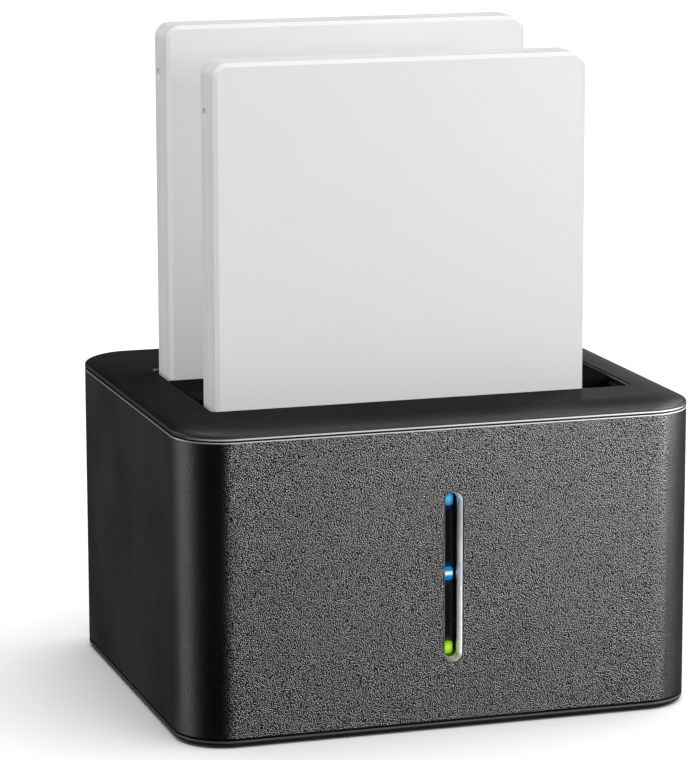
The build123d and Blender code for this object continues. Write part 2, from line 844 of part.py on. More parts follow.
# Drive sockets on the main board, one under each bay
for name, face_y, floor_level in bays:
    socket_y = face_y + drive_thickness - plug_depth_from_back
    shoulder = floor_level + seat_gap - socket_shoulder_gap
    with BuildPart() as drive_socket:
        with BuildSketch(level(board_top)):
            with Locations((plug_x, socket_y)):
                Rectangle(socket_width, socket_thickness)
        extrude(amount=shoulder - board_top)
        nose_width = plug_width - 2 * (plug_wall + nose_slack)
        with BuildSketch(level(shoulder)):
            with Locations((plug_x, socket_y)):
                Rectangle(nose_width, nose_thickness)
        extrude(amount=nose_height)
        slot_depth = nose_height + plug_wall
        for middle, width in tongue_places():
            with BuildSketch(level(shoulder + nose_height)):
                with Locations((middle, socket_y)):
                    Rectangle(width + 2 * nose_slot_slack, nose_slot_thickness)
            extrude(amount=-slot_depth, mode=Mode.SUBTRACT)
    drive_socket.part.label = f"{name}_drive_socket"
    export_step(drive_socket.part, f"parts/{name}_drive_socket.step")

    with BuildPart() as socket_contacts:
        contact_y = socket_y - (nose_slot_thickness - socket_contact_thickness) / 2
        with Locations(*[(x, contact_y, shoulder + nose_height - slot_depth) for x in contact_columns()]):
            Box(contact_width, socket_contact_thickness, nose_height, align=stand_up)
    socket_contacts.part.label = f"{name}_socket_contacts"
    export_step(socket_contacts.part, f"parts/{name}_socket_contacts.step")

# Chrome bezel of the light bar, a tapered mouth with a flange behind the wall
channel_height = bar_height - 2 * bar_taper
channel_width = bar_width - 2 * bar_taper
strip_height = channel_height + 2 * strip_wall
strip_width = channel_width + 2 * strip_wall
strip_hole_height = strip_height + 2 * strip_clearance
strip_hole_width = strip_width + 2 * strip_clearance
with BuildPart() as light_bar_bezel:
    with BuildSketch(facing_front(-half_depth)):
        with Locations((core_x, bar_level)):
            SlotOverall(bar_height + 2 * bezel_rim, bar_width + 2 * bezel_rim, rotation=quarter_turn)
    extrude(amount=-case_wall)
    with BuildSketch(facing_front(-half_depth + case_wall)):
        with Locations((core_x, bar_level)):
            SlotOverall(bar_height + 2 * bezel_flange, bar_width + 2 * bezel_flange, rotation=quarter_turn)
    extrude(amount=-bezel_flange_thickness)
    with BuildSketch(facing_front(-half_depth)):
        with Locations((core_x, bar_level)):
            SlotOverall(bar_height, bar_width, rotation=quarter_turn)
    with BuildSketch(facing_front(-half_depth + bar_taper_depth)):
        with Locations((core_x, bar_level)):
            SlotOverall(channel_height, channel_width, rotation=quarter_turn)
    loft(ruled=True, mode=Mode.SUBTRACT)
    with BuildSketch(facing_front(-half_depth + bar_taper_depth)):
        with Locations((core_x, bar_level)):
            SlotOverall(channel_height, channel_width, rotation=quarter_turn)
    extrude(amount=-bar_land, mode=Mode.SUBTRACT)
    with BuildSketch(facing_front(strip_mouth)):
        with Locations((core_x, bar_level)):
            SlotOverall(strip_hole_height, strip_hole_width, rotation=quarter_turn)
    extrude(amount=-half_depth, mode=Mode.SUBTRACT)
light_bar_bezel.part.label = "light_bar_bezel"
export_step(light_bar_bezel.part, "parts/light_bar_bezel.step")

# Black glossy channel behind the bezel, with a window for each lamp in its floor
with BuildPart() as light_bar_strip:
    with BuildSketch(facing_front(strip_mouth)):
        with Locations((core_x, bar_level)):
            SlotOverall(strip_height, strip_width, rotation=quarter_turn)
    extrude(amount=-(strip_channel_depth + strip_floor_thickness))
    with BuildSketch(facing_front(strip_mouth)):
        with Locations((core_x, bar_level)):
            SlotOverall(channel_height, channel_width, rotation=quarter_turn)
    extrude(amount=-strip_channel_depth, mode=Mode.SUBTRACT)
    with BuildSketch(facing_front(strip_face)):
        with Locations(*[(core_x, z) for name, z in lamps]):
            RectangleRounded(lamp_width, lamp_height, lamp_corner_radius)
    extrude(amount=-strip_floor_thickness, mode=Mode.SUBTRACT)
light_bar_strip.part.label = "light_bar_strip"
export_step(light_bar_strip.part, "parts/light_bar_strip.step")

# Clear light pipes that fill the windows and reach back to the lamps
for name, z in lamps:
    with BuildPart() as lamp_pipe:
        with BuildSketch(facing_front(lamp_face)):
            with Locations((core_x, z)):
                RectangleRounded(lamp_width, lamp_height, lamp_corner_radius)
        extrude(amount=-lamp_pipe_length)
    lamp_pipe.part.label = name
    export_step(lamp_pipe.part, f"parts/{name}.step")

with BuildPart() as lamp_chips:
    with BuildSketch(facing_front(lamp_board_front)):
        with Locations(*[(core_x, z) for name, z in lamps]):
            Rectangle(lamp_chip_width, lamp_chip_width)
    extrude(amount=lamp_chip_height)
lamp_chips.part.label = "lamp_chips"
export_step(lamp_chips.part, "parts/lamp_chips.step")

# Lamp board, upright behind the light bar, and the header that joins it to the main board
with BuildPart() as lamp_board:
    with BuildSketch(facing_front(lamp_board_back)):
        with Locations((core_x, board_top + lamp_board_height / 2)):
            Rectangle(lamp_board_width, lamp_board_height)
        with Locations((core_x, header_pin_level)):
            with GridLocations(header_pin_spacing, 0, header_pin_count, 1):
                Rectangle(header_hole, header_hole, mode=Mode.SUBTRACT)
    extrude(amount=lamp_board_thickness)
lamp_board.part.label = "lamp_board"
export_step(lamp_board.part, "parts/lamp_board.step")

with BuildPart() as board_header:
    with BuildSketch(level(board_top)):
        with Locations((core_x, header_y)):
            Rectangle(header_pin_count * header_pin_spacing, header_depth)
            with GridLocations(header_pin_spacing, 0, header_pin_count, 1):
                Rectangle(header_pin_size, header_pin_size, mode=Mode.SUBTRACT)
    extrude(amount=header_height)
board_header.part.label = "board_header"
export_step(board_header.part, "parts/board_header.step")

with BuildPart() as header_pin_row:
    with BuildSketch(level(board_bottom - header_pin_below)):
        with Locations((core_x, header_y)):
            with GridLocations(header_pin_spacing, 0, header_pin_count, 1):
                Rectangle(header_pin_size, header_pin_size)
    extrude(amount=header_pin_below + board_thickness + header_height + header_pin_above)
    with BuildSketch(facing_front(header_y)):
        with Locations((core_x, header_pin_level)):
            with GridLocations(header_pin_spacing, 0, header_pin_count, 1):
                Rectangle(header_pin_size, header_pin_size)
    extrude(amount=header_y - lamp_board_front + header_pin_through)
header_pin_row.part.label = "header_pins"
export_step(header_pin_row.part, "parts/header_pins.step")

# Data socket, a folded steel shell round a plastic insert with its contacts
data_port_level = board_top + data_floor
data_port_top = data_port_level + data_port_height


def data_port_outline():
    """Square port with cut upper corners and a narrower port on top of it."""
    half_port = data_port_width / 2
    shoulder_z = data_port_top - data_port_chamfer
    Polygon(
        (data_x - half_port, data_port_level),
        (data_x + half_port, data_port_level),
        (data_x + half_port, shoulder_z),
        (data_x + half_port - data_port_chamfer, data_port_top),
        (data_x - half_port + data_port_chamfer, data_port_top),
        (data_x - half_port, shoulder_z),
        align=None,
    )
    with Locations((data_x, data_port_top + data_upper_height / 2)):
        Rectangle(data_upper_width, data_upper_height)


with BuildPart() as data_socket_shell:
    with BuildSketch(facing_front(data_mouth)):
        with Locations((data_x, board_top + data_height / 2)):
            Rectangle(data_width, data_height)
    extrude(amount=data_length)
    with BuildSketch(facing_front(data_mouth)):
        data_port_outline()
    extrude(amount=data_length, mode=Mode.SUBTRACT)
data_socket_shell.part.label = "data_socket_shell"
export_step(data_socket_shell.part, "parts/data_socket_shell.step")

insert_face = data_mouth - data_length + data_insert_depth
lower_tongue_level = data_port_level + data_tongue_lift
with BuildPart() as data_socket_insert:
    with BuildSketch(facing_front(insert_face)):
        data_port_outline()
    extrude(amount=data_insert_depth)
    with BuildSketch(facing_front(insert_face)):
        with Locations((data_x, lower_tongue_level + data_tongue_height / 2)):
            Rectangle(data_tongue_width, data_tongue_height)
        with Locations((data_x, data_port_top + data_upper_height / 2)):
            Rectangle(data_upper_tongue_width, data_upper_tongue_height)
    extrude(amount=-data_tongue_length)
data_socket_insert.part.label = "data_socket_insert"
export_step(data_socket_insert.part, "parts/data_socket_insert.step")

with BuildPart() as data_socket_contacts:
    upper_level = data_port_top + (data_upper_height + data_upper_tongue_height) / 2
    lower_levels = (
        (lower_tongue_level - data_contact_thickness, data_contact_pitch_x),
        (lower_tongue_level + data_tongue_height, data_contact_pitch_x),
    )
    for contact_z, pitch in lower_levels:
        with Locations(*[(data_x + side * pitch / 2, insert_face, contact_z) for side in (-1, 1)]):
            Box(
                data_contact_width,
                data_contact_length,
                data_contact_thickness,
                align=(Align.CENTER, Align.MIN, Align.MIN),
            )
    with Locations((data_x, insert_face, upper_level)):
        with GridLocations(data_upper_contact_pitch, 0, data_upper_contact_count, 1):
            Box(
                data_upper_contact_width,
                data_contact_length,
                data_contact_thickness,
                align=(Align.CENTER, Align.MIN, Align.MIN),
            )
data_socket_contacts.part.label = "data_socket_contacts"
export_step(data_socket_contacts.part, "parts/data_socket_contacts.step")

# Power inlet with its centre pin
with BuildPart() as power_inlet_body:
    with BuildSketch(facing_front(data_mouth)):
        with Locations((inlet_x, board_top + inlet_height / 2)):
            Rectangle(inlet_width, inlet_height)
    extrude(amount=inlet_length)
    with BuildSketch(facing_front(data_mouth)):
        with Locations((inlet_x, inlet_level)):
            Circle(inlet_bore_radius)
    extrude(amount=inlet_bore_depth, mode=Mode.SUBTRACT)
power_inlet_body.part.label = "power_inlet_body"
export_step(power_inlet_body.part, "parts/power_inlet_body.step")

with BuildPart() as power_inlet_pin:
    with BuildSketch(facing_front(data_mouth - inlet_bore_depth)):
        with Locations((inlet_x, inlet_level)):
            Circle(inlet_pin_radius)
    extrude(amount=-inlet_pin_length)
    fillet(power_inlet_pin.edges().sort_by(Axis.Y)[-1], inlet_pin_tip_radius)
power_inlet_pin.part.label = "power_inlet_pin"
export_step(power_inlet_pin.part, "parts/power_inlet_pin.step")

# Power switch, a frame pushed into the recess with a rocker on two pins
frame_back = switch_panel - switch_frame_depth
cavity_width = switch_frame_width - 2 * switch_frame_wall
cavity_height = switch_frame_height - 2 * switch_frame_wall
with BuildPart() as power_switch_frame:
    with BuildSketch(facing_front(switch_panel)):
        with Locations((switch_x, switch_level)):
            RectangleRounded(switch_flange_width, switch_flange_height, switch_recess_corner)
    extrude(amount=-switch_flange_thickness)
    with BuildSketch(facing_front(frame_back)):
        with Locations((switch_x, switch_level)):
            Rectangle(switch_frame_width, switch_frame_height)
    extrude(amount=-switch_frame_depth)
    with BuildSketch(facing_front(frame_back + switch_back_wall)):
        with Locations((switch_x, switch_level)):
            Rectangle(cavity_width, cavity_height)
    extrude(amount=-(switch_frame_depth + overrun), mode=Mode.SUBTRACT)
    pin_hole_span = cavity_height + 2 * (rocker_pin_length + rocker_pin_end_gap)
    with Locations((switch_x, rocker_pivot_y, switch_level)):
        Cylinder(rocker_pin_radius + rocker_pin_clearance, pin_hole_span, mode=Mode.SUBTRACT)
power_switch_frame.part.label = "power_switch_frame"
export_step(power_switch_frame.part, "parts/power_switch_frame.step")

# Rocker, whose outer face is a shallow V, drawn with its left half pressed in
rocker_height = cavity_height - 2 * rocker_side_clearance
rocker_end_face = rocker_face + rocker_half_length * tan(radians(rocker_tilt))
with BuildPart() as power_rocker:
    with BuildSketch(
        Plane(
            origin=(switch_x, rocker_pivot_y, switch_level - rocker_height / 2),
            x_dir=Vector(1, 0, 0).rotate(Axis.Z, rocker_tilt),
            z_dir=(0, 0, 1),
        )
    ):
        with BuildLine():
            Polyline(
                (0, rocker_face),
                (-rocker_half_length, rocker_end_face),
                (-rocker_half_length, -rocker_under),
                (-rocker_nub_width, -rocker_under),
                (-rocker_nub_width / 2, -rocker_nub_reach),
                (rocker_nub_width / 2, -rocker_nub_reach),
                (rocker_nub_width, -rocker_under),
                (rocker_half_length, -rocker_under),
                (rocker_half_length, rocker_end_face),
                close=True,
            )
        make_face()
    extrude(amount=rocker_height)
    with Locations((switch_x, rocker_pivot_y, switch_level)):
        Cylinder(rocker_pin_radius, cavity_height + 2 * rocker_pin_length)
power_rocker.part.label = "power_rocker"
export_step(power_rocker.part, "parts/power_rocker.step")

# Bent terminals from the switch down to the main board
with BuildPart() as switch_terminals:
    for i in (-1, 0, 1):
        with BuildSketch(Plane.YZ.offset(switch_x + i * terminal_pitch - terminal_width / 2)):
            with BuildLine():
                Polyline(
                    (frame_back, switch_level),
                    (frame_back, switch_level - terminal_thickness),
                    (frame_back - terminal_reach, switch_level - terminal_thickness),
                    (frame_back - terminal_reach, board_top),
                    (frame_back - terminal_reach - terminal_thickness, board_top),
                    (frame_back - terminal_reach - terminal_thickness, switch_level),
                    close=True,
                )
            make_face()
        extrude(amount=terminal_width)
switch_terminals.part.label = "switch_terminals"
export_step(switch_terminals.part, "parts/switch_terminals.step")

# The two drives, each a lid and a tray round a circuit board with its plug
for name, face_y, floor_level in bays:
    bottom = floor_level + seat_gap
    middle_z = bottom + drive_length / 2
    parting_y = face_y + lid_thickness
    back_y = face_y + drive_thickness
    plug_y = back_y - plug_depth_from_back
    hole_levels = (bottom + drive_hole_low, bottom + drive_length - drive_hole_top_inset)
    drive_board_width = drive_width - 2 * drive_board_side_margin
    drive_board_bottom = bottom + drive_board_lift
    controller_z = bottom + plug_height + controller_gap + controller_size / 2
    memory_bottom = controller_z + controller_size / 2 + chip_thickness
    memory_middle_z = memory_bottom + (memory_pitch + memory_length) / 2
    drive_board_length = memory_bottom + memory_pitch + memory_length - drive_board_bottom
    board_middle_z = drive_board_bottom + drive_board_length / 2
    inner_width_of_drive = drive_width - 2 * drive_wall
    inner_length_of_drive = drive_length - 2 * drive_wall
    inner_size = (inner_width_of_drive, inner_length_of_drive, drive_corner_radius - drive_wall)
    window_width = plug_width + 2 * fit_clearance

    with BuildPart() as drive_lid:
        with BuildSketch(facing_front(parting_y)):
            with Locations((drive_x, middle_z)):
                RectangleRounded(drive_width, drive_length, drive_corner_radius)
        extrude(amount=lid_thickness)
        chamfer(drive_lid.faces().sort_by(Axis.Y)[0].outer_wire().edges(), drive_bevel)
        chamfer(drive_lid.faces().sort_by(Axis.Y)[-1].outer_wire().edges(), parting_groove)
        with BuildSketch(facing_front(parting_y)):
            with Locations((drive_x, middle_z)):
                RectangleRounded(*inner_size)
        extrude(amount=lid_thickness - drive_wall, mode=Mode.SUBTRACT)
        with BuildSketch(level(bottom)):
            with Locations((plug_x, plug_y)):
                Rectangle(window_width, plug_thickness)
        extrude(amount=drive_wall, mode=Mode.SUBTRACT)
    drive_lid.part.label = f"{name}_drive_lid"
    export_step(drive_lid.part, f"parts/{name}_drive_lid.step")

    tray_thickness = drive_thickness - lid_thickness
    with BuildPart() as drive_tray:
        with BuildSketch(facing_front(back_y)):
            with Locations((drive_x, middle_z)):
                RectangleRounded(drive_width, drive_length, drive_corner_radius)
        extrude(amount=tray_thickness)
        chamfer(drive_tray.faces().sort_by(Axis.Y)[-1].outer_wire().edges(), drive_bevel)
        chamfer(drive_tray.faces().sort_by(Axis.Y)[0].outer_wire().edges(), parting_groove)
        with BuildSketch(facing_front(back_y - drive_wall)):
            with Locations((drive_x, middle_z)):
                RectangleRounded(*inner_size)
        extrude(amount=tray_thickness, mode=Mode.SUBTRACT)
        # Bosses round the screw holes, and posts under the circuit board
        boss_x = (drive_width - drive_boss_width) / 2
        with BuildSketch(facing_front(back_y - drive_wall)):
            with Locations(*[(drive_x + side * boss_x, z) for side in (-1, 1) for z in hole_levels]):
                Rectangle(drive_boss_width, drive_boss_height)
        extrude(amount=tray_thickness - drive_wall)
        post_x = drive_board_width / 2 - 2 * drive_post_radius
        post_z = drive_board_length / 2 - 4 * drive_post_radius
        with BuildSketch(facing_front(back_y - drive_wall)):
            with Locations((drive_x, board_middle_z)):
                with GridLocations(2 * post_x, 2 * post_z, 2, 2):
                    Circle(drive_post_radius)
        extrude(amount=drive_post_height)
        side_hole_y = back_y - drive_side_hole_inset
        for side in (-1, 1):
            edge_x = drive_x + side * drive_width / 2
            with BuildSketch(Plane.YZ.offset(edge_x)):
                with Locations(*[(side_hole_y, z) for z in hole_levels]):
                    Circle(drive_hole_radius)
            extrude(amount=-side * drive_hole_depth, mode=Mode.SUBTRACT)
        back_hole_x = drive_width / 2 - drive_back_hole_inset
        with BuildSketch(facing_front(back_y)):
            with Locations(*[(drive_x + side * back_hole_x, z) for side in (-1, 1) for z in hole_levels]):
                Circle(drive_hole_radius)
        extrude(amount=drive_hole_depth, mode=Mode.SUBTRACT)
        with BuildSketch(level(bottom)):
            with Locations((plug_x, plug_y)):
                Rectangle(window_width, plug_thickness)
        extrude(amount=drive_wall, mode=Mode.SUBTRACT)
    drive_tray.part.label = f"{name}_drive_tray"
    export_step(drive_tray.part, f"parts/{name}_drive_tray.step")

    drive_board_back = back_y - drive_wall - drive_post_height
    drive_board_front = drive_board_back - drive_board_thickness
    with BuildPart() as drive_board:
        with BuildSketch(facing_front(drive_board_back)):
            with Locations((drive_x, board_middle_z)):
                Rectangle(drive_board_width, drive_board_length)
            with Locations((plug_x, bottom + plug_height / 2)):
                Rectangle(window_width, plug_height, mode=Mode.SUBTRACT)
        extrude(amount=drive_board_thickness)
    drive_board.part.label = f"{name}_drive_board"
    export_step(drive_board.part, f"parts/{name}_drive_board.step")

    with BuildPart() as drive_memory:
        with BuildSketch(facing_front(drive_board_front)):
            with Locations((drive_x, memory_middle_z)):
                with GridLocations(memory_spread, memory_pitch, 2, 2):
                    Rectangle(memory_width, memory_length)
        extrude(amount=chip_thickness)
    drive_memory.part.label = f"{name}_drive_memory"
    export_step(drive_memory.part, f"parts/{name}_drive_memory.step")

    with BuildPart() as drive_controller:
        with BuildSketch(facing_front(drive_board_front)):
            with Locations((drive_x, controller_z)):
                Rectangle(controller_size, controller_size)
        extrude(amount=chip_thickness)
    drive_controller.part.label = f"{name}_drive_controller"
    export_step(drive_controller.part, f"parts/{name}_drive_controller.step")

    with BuildPart() as drive_plug:
        with BuildSketch(level(bottom)):
            with Locations((plug_x, plug_y)):
                Rectangle(plug_width, plug_thickness)
        extrude(amount=plug_height)
        with BuildSketch(level(bottom)):
            with Locations((plug_x, plug_y)):
                Rectangle(plug_width - 2 * plug_wall, plug_thickness - 2 * plug_wall)
        extrude(amount=plug_cavity_height, mode=Mode.SUBTRACT)
        with BuildSketch(level(bottom + plug_cavity_height)):
            for tongue_middle, tongue_width in tongue_places():
                with Locations((tongue_middle, plug_y)):
                    Rectangle(tongue_width, tongue_thickness)
        extrude(amount=-tongue_height)
    drive_plug.part.label = f"{name}_drive_plug"
    export_step(drive_plug.part, f"parts/{name}_drive_plug.step")

    with BuildPart() as plug_contacts:
        strip_y = plug_y - (tongue_thickness + plug_contact_thickness) / 2
        with Locations(*[(x, strip_y, bottom + plug_cavity_height) for x in contact_columns()]):
            Box(contact_width, plug_contact_thickness, plug_contact_length, align=hang_down)
    plug_contacts.part.label = f"{name}_plug_contacts"
    export_step(plug_contacts.part, f"parts/{name}_plug_contacts.step")
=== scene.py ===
import math

import bpy
from mathutils import Matrix, Vector


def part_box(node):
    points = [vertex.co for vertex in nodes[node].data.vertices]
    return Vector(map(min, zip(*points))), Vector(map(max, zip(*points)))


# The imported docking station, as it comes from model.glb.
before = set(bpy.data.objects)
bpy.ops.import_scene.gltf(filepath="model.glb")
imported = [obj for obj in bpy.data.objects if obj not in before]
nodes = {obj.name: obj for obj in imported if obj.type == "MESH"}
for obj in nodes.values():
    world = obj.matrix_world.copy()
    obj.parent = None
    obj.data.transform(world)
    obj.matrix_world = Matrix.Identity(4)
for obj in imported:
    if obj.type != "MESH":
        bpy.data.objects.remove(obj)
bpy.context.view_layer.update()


# The base plate is a flat black moulding that closes the body from below.
# Only its lip shows, under the seam; it carries the main board and is held by four screws.
def new_material(name, colour, roughness, metallic=0.0, specular=0.5):
    """A material with its Principled shader set to those values."""
    material = bpy.data.materials.new(name)
    material.use_nodes = True
    shader = shader_of(material)
    shader.inputs["Base Color"].default_value = (*colour, 1.0)
    shader.inputs["Roughness"].default_value = roughness
    shader.inputs["Metallic"].default_value = metallic
    shader.inputs["Specular IOR Level"].default_value = specular
    return material


def shader_of(material):
    """The Principled shader of a material."""
    return material.node_tree.nodes["Principled BSDF"]


def grey(level):
    """A plain grey of that level."""
    return (level, level, level)


def dress(material, slot, *names):
    """These CAD nodes are made of that material. The slot is not used."""
    for name in names:
        mesh = nodes[name].data
        mesh.materials.clear()
        mesh.materials.append(material)


def node_in(tree, kind, column, row, inputs=(), **settings):
    """A new node of that kind on the tree's grid, each input given a value or a link."""
    node = tree.nodes.new(kind)
    node.location = (column * 220, row * -220)
    for key, value in settings.items():
        setattr(node, key, value)
    for socket, value in dict(inputs).items():
        if isinstance(value, bpy.types.NodeSocket):
            tree.links.new(value, node.inputs[socket])
        else:
            node.inputs[socket].default_value = value
    return node


def sum_in(tree, kind, column, row, first, second=0.5, third=0.5, clamp=False):
    """One step of arithmetic in a node tree."""
    given = {0: first, 1: second, 2: third}
    step = node_in(tree, "ShaderNodeMath", column, row, given, operation=kind, use_clamp=clamp)
    return step.outputs[0]


def place_on_piece(tree, column=-7, row=0):
    """Where a point lies on the piece, in metres."""
    return node_in(tree, "ShaderNodeTexCoord", column, row).outputs["Object"]


def new_group(name, inputs, outputs):
    """A shader node group with those sockets, and its input and output nodes."""
    group = bpy.data.node_groups.new(name, "ShaderNodeTree")
    for socket, value in inputs:
        kind = "NodeSocketVector" if value is None else "NodeSocketFloat"
        made = group.interface.new_socket(socket, in_out="INPUT", socket_type=kind)
        if value is not None:
            made.default_value = value
    for socket in outputs:
        group.interface.new_socket(socket, in_out="OUTPUT", socket_type="NodeSocketFloat")
    return group, node_in(group, "NodeGroupInput", -6, 0), node_in(group, "NodeGroupOutput", 6, 0)


def placed(tree, group, column, row, **values):
    """A group placed in a material, with its own values."""
    node = node_in(tree, "ShaderNodeGroup", column, row, node_tree=group)
    for socket, value in values.items():
        node.inputs[socket.replace("_", " ").capitalize()].default_value = value
    tree.links.new(place_on_piece(tree, column - 2, row), node.inputs["Place"])
    return node


spark_grain, grain_in, grain_out = new_group(
    "Spark grain", [("Place", None), ("Grain size", 0.0003), ("Contrast", 1.0)], ["Grain"]
)
grain_turned = node_in(
    spark_grain,
    "ShaderNodeMapping",
    -4,
    0,
    {"Vector": grain_in.outputs["Place"], "Rotation": (0.6, 0.75, 0.3)},
)
grain_count = sum_in(spark_grain, "DIVIDE", -4, 1, 1.0, grain_in.outputs["Grain size"])
grain_cells = node_in(
    spark_grain,
    "ShaderNodeTexVoronoi",
    -2,
    0,
    {"Vector": grain_turned.outputs[0], "Scale": grain_count},
)
grain_off = sum_in(spark_grain, "SUBTRACT", 0, 0, 0.5, grain_cells.outputs["Distance"])
grain_height = sum_in(
    spark_grain, "MULTIPLY_ADD", 2, 0, grain_off, grain_in.outputs["Contrast"], 0.5, clamp=True
)
spark_grain.links.new(grain_height, grain_out.inputs["Grain"])


def shade(material, factor, dark, light, socket="Base Color"):
    """The colour goes from dark to light as the factor rises."""
    tree = material.node_tree
    mix = node_in(tree, "ShaderNodeMix", -2, 0, {"Factor": factor}, data_type="RGBA")
    mix.inputs["A"].default_value = (*dark, 1.0)
    mix.inputs["B"].default_value = (*light, 1.0)
    tree.links.new(mix.outputs["Result"], shader_of(material).inputs[socket])


def emboss(material, height, depth, strength=1.0):
    """The height raises the surface by up to that depth."""
    tree = material.node_tree
    values = {"Height": height, "Distance": depth, "Strength": strength}
    bump = node_in(tree, "ShaderNodeBump", -2, 2, values)
    tree.links.new(bump.outputs["Normal"], shader_of(material).inputs["Normal"])


def add_grain(material, grain_size, contrast, depth, dark, light):
    """Spark grain on a material: raised grains, lighter than the pits between them."""
    grain = placed(material.node_tree, spark_grain, -4, 0, grain_size=grain_size, contrast=contrast)
    shade(material, grain.outputs["Grain"], dark, light)
    emboss(material, grain.outputs["Grain"], depth)
    return grain


uneven_gloss, gloss_in, gloss_out = new_group(
    "Uneven gloss",
    [("Place", None), ("Patch size", 0.01), ("Smooth", 0.3), ("Rough", 0.4)],
    ["Roughness"],
)
gloss_noise = node_in(
    uneven_gloss,
    "ShaderNodeTexNoise",
    -2,
    0,
    {
        "Vector": gloss_in.outputs["Place"],
        "Scale": sum_in(uneven_gloss, "DIVIDE", -4, 1, 1.0, gloss_in.outputs["Patch size"]),
        "Detail": 3.0,
    },
)
gloss_range = node_in(
    uneven_gloss,
    "ShaderNodeMapRange",
    0,
    0,
    {
        "Value": gloss_noise.outputs[0],
        "From Min": 0.35,
        "From Max": 0.65,
        "To Min": gloss_in.outputs["Smooth"],
        "To Max": gloss_in.outputs["Rough"],
    },
)
uneven_gloss.links.new(gloss_range.outputs[0], gloss_out.inputs["Roughness"])


def add_gloss(material, patch_size, smooth, rough):
    """Roughness that drifts a little across the surface, as on any moulded or plated part."""
    tree = material.node_tree
    gloss = placed(tree, uneven_gloss, -4, 3, patch_size=patch_size, smooth=smooth, rough=rough)
    tree.links.new(gloss.outputs["Roughness"], shader_of(material).inputs["Roughness"])


# A mask for a painted band between two heights, on upright faces only. It fades where the face
# turns from the front and back, so that painted highlights there follow the lamps' light.
painted_edge_band, edge_in, edge_out = new_group(
    "Painted edge band",
    [("Place", None), ("Lowest", 0.0), ("Highest", 0.001), ("Sides", 1.0)],
    ["Mask"],
)
edge_axes = node_in(painted_edge_band, "ShaderNodeSeparateXYZ", -4, 0, {0: edge_in.outputs["Place"]})
edge_height = edge_axes.outputs["Z"]
above_lowest = sum_in(painted_edge_band, "GREATER_THAN", -2, 0, edge_height, edge_in.outputs["Lowest"])
below_highest = sum_in(painted_edge_band, "LESS_THAN", -2, 1, edge_height, edge_in.outputs["Highest"])
on_edge = sum_in(painted_edge_band, "MULTIPLY", 0, 0, above_lowest, below_highest)
edge_turn = node_in(
    painted_edge_band,
    "ShaderNodeSeparateXYZ",
    -4,
    3,
    {0: node_in(painted_edge_band, "ShaderNodeTexCoord", -6, 3).outputs["Normal"]},
)
edge_forward = sum_in(painted_edge_band, "ABSOLUTE", -2, 3, edge_turn.outputs["Y"])
edge_level = sum_in(painted_edge_band, "ABSOLUTE", -2, 4, edge_turn.outputs["Z"])
edge_shown = node_in(
    painted_edge_band,
    "ShaderNodeMapRange",
    0,
    3,
    {
        "Value": edge_forward,
        "From Min": 0.5,
        "From Max": 0.87,
        "To Min": edge_in.outputs["Sides"],
        "To Max": 1.0,
    },
)
edge_upright = sum_in(painted_edge_band, "LESS_THAN", 0, 4, edge_level, 0.5)
edge_facing = sum_in(painted_edge_band, "MULTIPLY", 2, 3, edge_shown.outputs[0], edge_upright)
edge_mask = sum_in(painted_edge_band, "MULTIPLY", 3, 0, on_edge, edge_facing)
painted_edge_band.links.new(edge_mask, edge_out.inputs["Mask"])


def paint_edge_band(material, lowest, highest, bright, sides=1.0, row=6):
    """The band between those levels is painted flat in that colour, over the material's colour and
    grain and without its metal: a painted highlight where the colour is pale.

    Sides is how much of that shows where the edge turns away from the front and back.
    """
    tree = material.node_tree
    colour = shader_of(material).inputs["Base Color"]
    metallic = shader_of(material).inputs["Metallic"]
    edge = placed(tree, painted_edge_band, -4, row, lowest=lowest, highest=highest, sides=sides)
    mask = edge.outputs["Mask"]
    mix = node_in(tree, "ShaderNodeMix", -1, row, {"Factor": mask}, data_type="RGBA")
    tree.links.new(colour.links[0].from_socket, mix.inputs["A"])
    mix.inputs["B"].default_value = (*bright, 1.0)
    tree.links.new(mix.outputs["Result"], colour)
    height = tree.nodes["Bump"].inputs["Height"]
    off_edge = sum_in(tree, "SUBTRACT", -3, row, 1.0, mask)
    height_off = sum_in(tree, "MULTIPLY", -2, row + 1, height.links[0].from_socket, off_edge)
    tree.links.new(height_off, height)
    metal = metallic.links[0].from_socket if metallic.is_linked else metallic.default_value
    # A plastic with no metal in it keeps its constant
    if metallic.is_linked or metal > 0:
        tree.links.new(sum_in(tree, "MULTIPLY", -1, row + 1, off_edge, metal), metallic)


base_plastic = new_material("Satin base plastic", (0.02, 0.02, 0.021), roughness=0.4)
add_grain(
    base_plastic,
    grain_size=0.0003,
    contrast=0.8,
    depth=0.00001,
    dark=grey(0.012),
    light=(0.032, 0.032, 0.033),
)
add_gloss(base_plastic, patch_size=0.012, smooth=0.36, rough=0.44)
highlight_width = 0.00032
seam_gap = 0.0002
lip_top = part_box("body_shell")[0][2] - seam_gap
# A painted highlight: a thin grey band along the top of the lip, under the seam.
paint_edge_band(base_plastic, lip_top - highlight_width, lip_top, grey(0.12))
dress(base_plastic, "base_plastic", "base_plate")


# Four round feet of soft black rubber are pressed into the base over its screws.
# They are moulded in a blasted tool, which leaves them dull and slightly grainy.
foot_rubber = new_material("Foot rubber", grey(0.03), roughness=0.8, specular=0.3)
add_grain(
    foot_rubber,
    grain_size=0.00045,
    contrast=0.9,
    depth=0.00003,
    dark=grey(0.02),
    light=(0.05, 0.049, 0.047),
)
add_gloss(foot_rubber, patch_size=0.003, smooth=0.7, rough=0.9)
dress(foot_rubber, "foot_rubber", "rubber_feet")


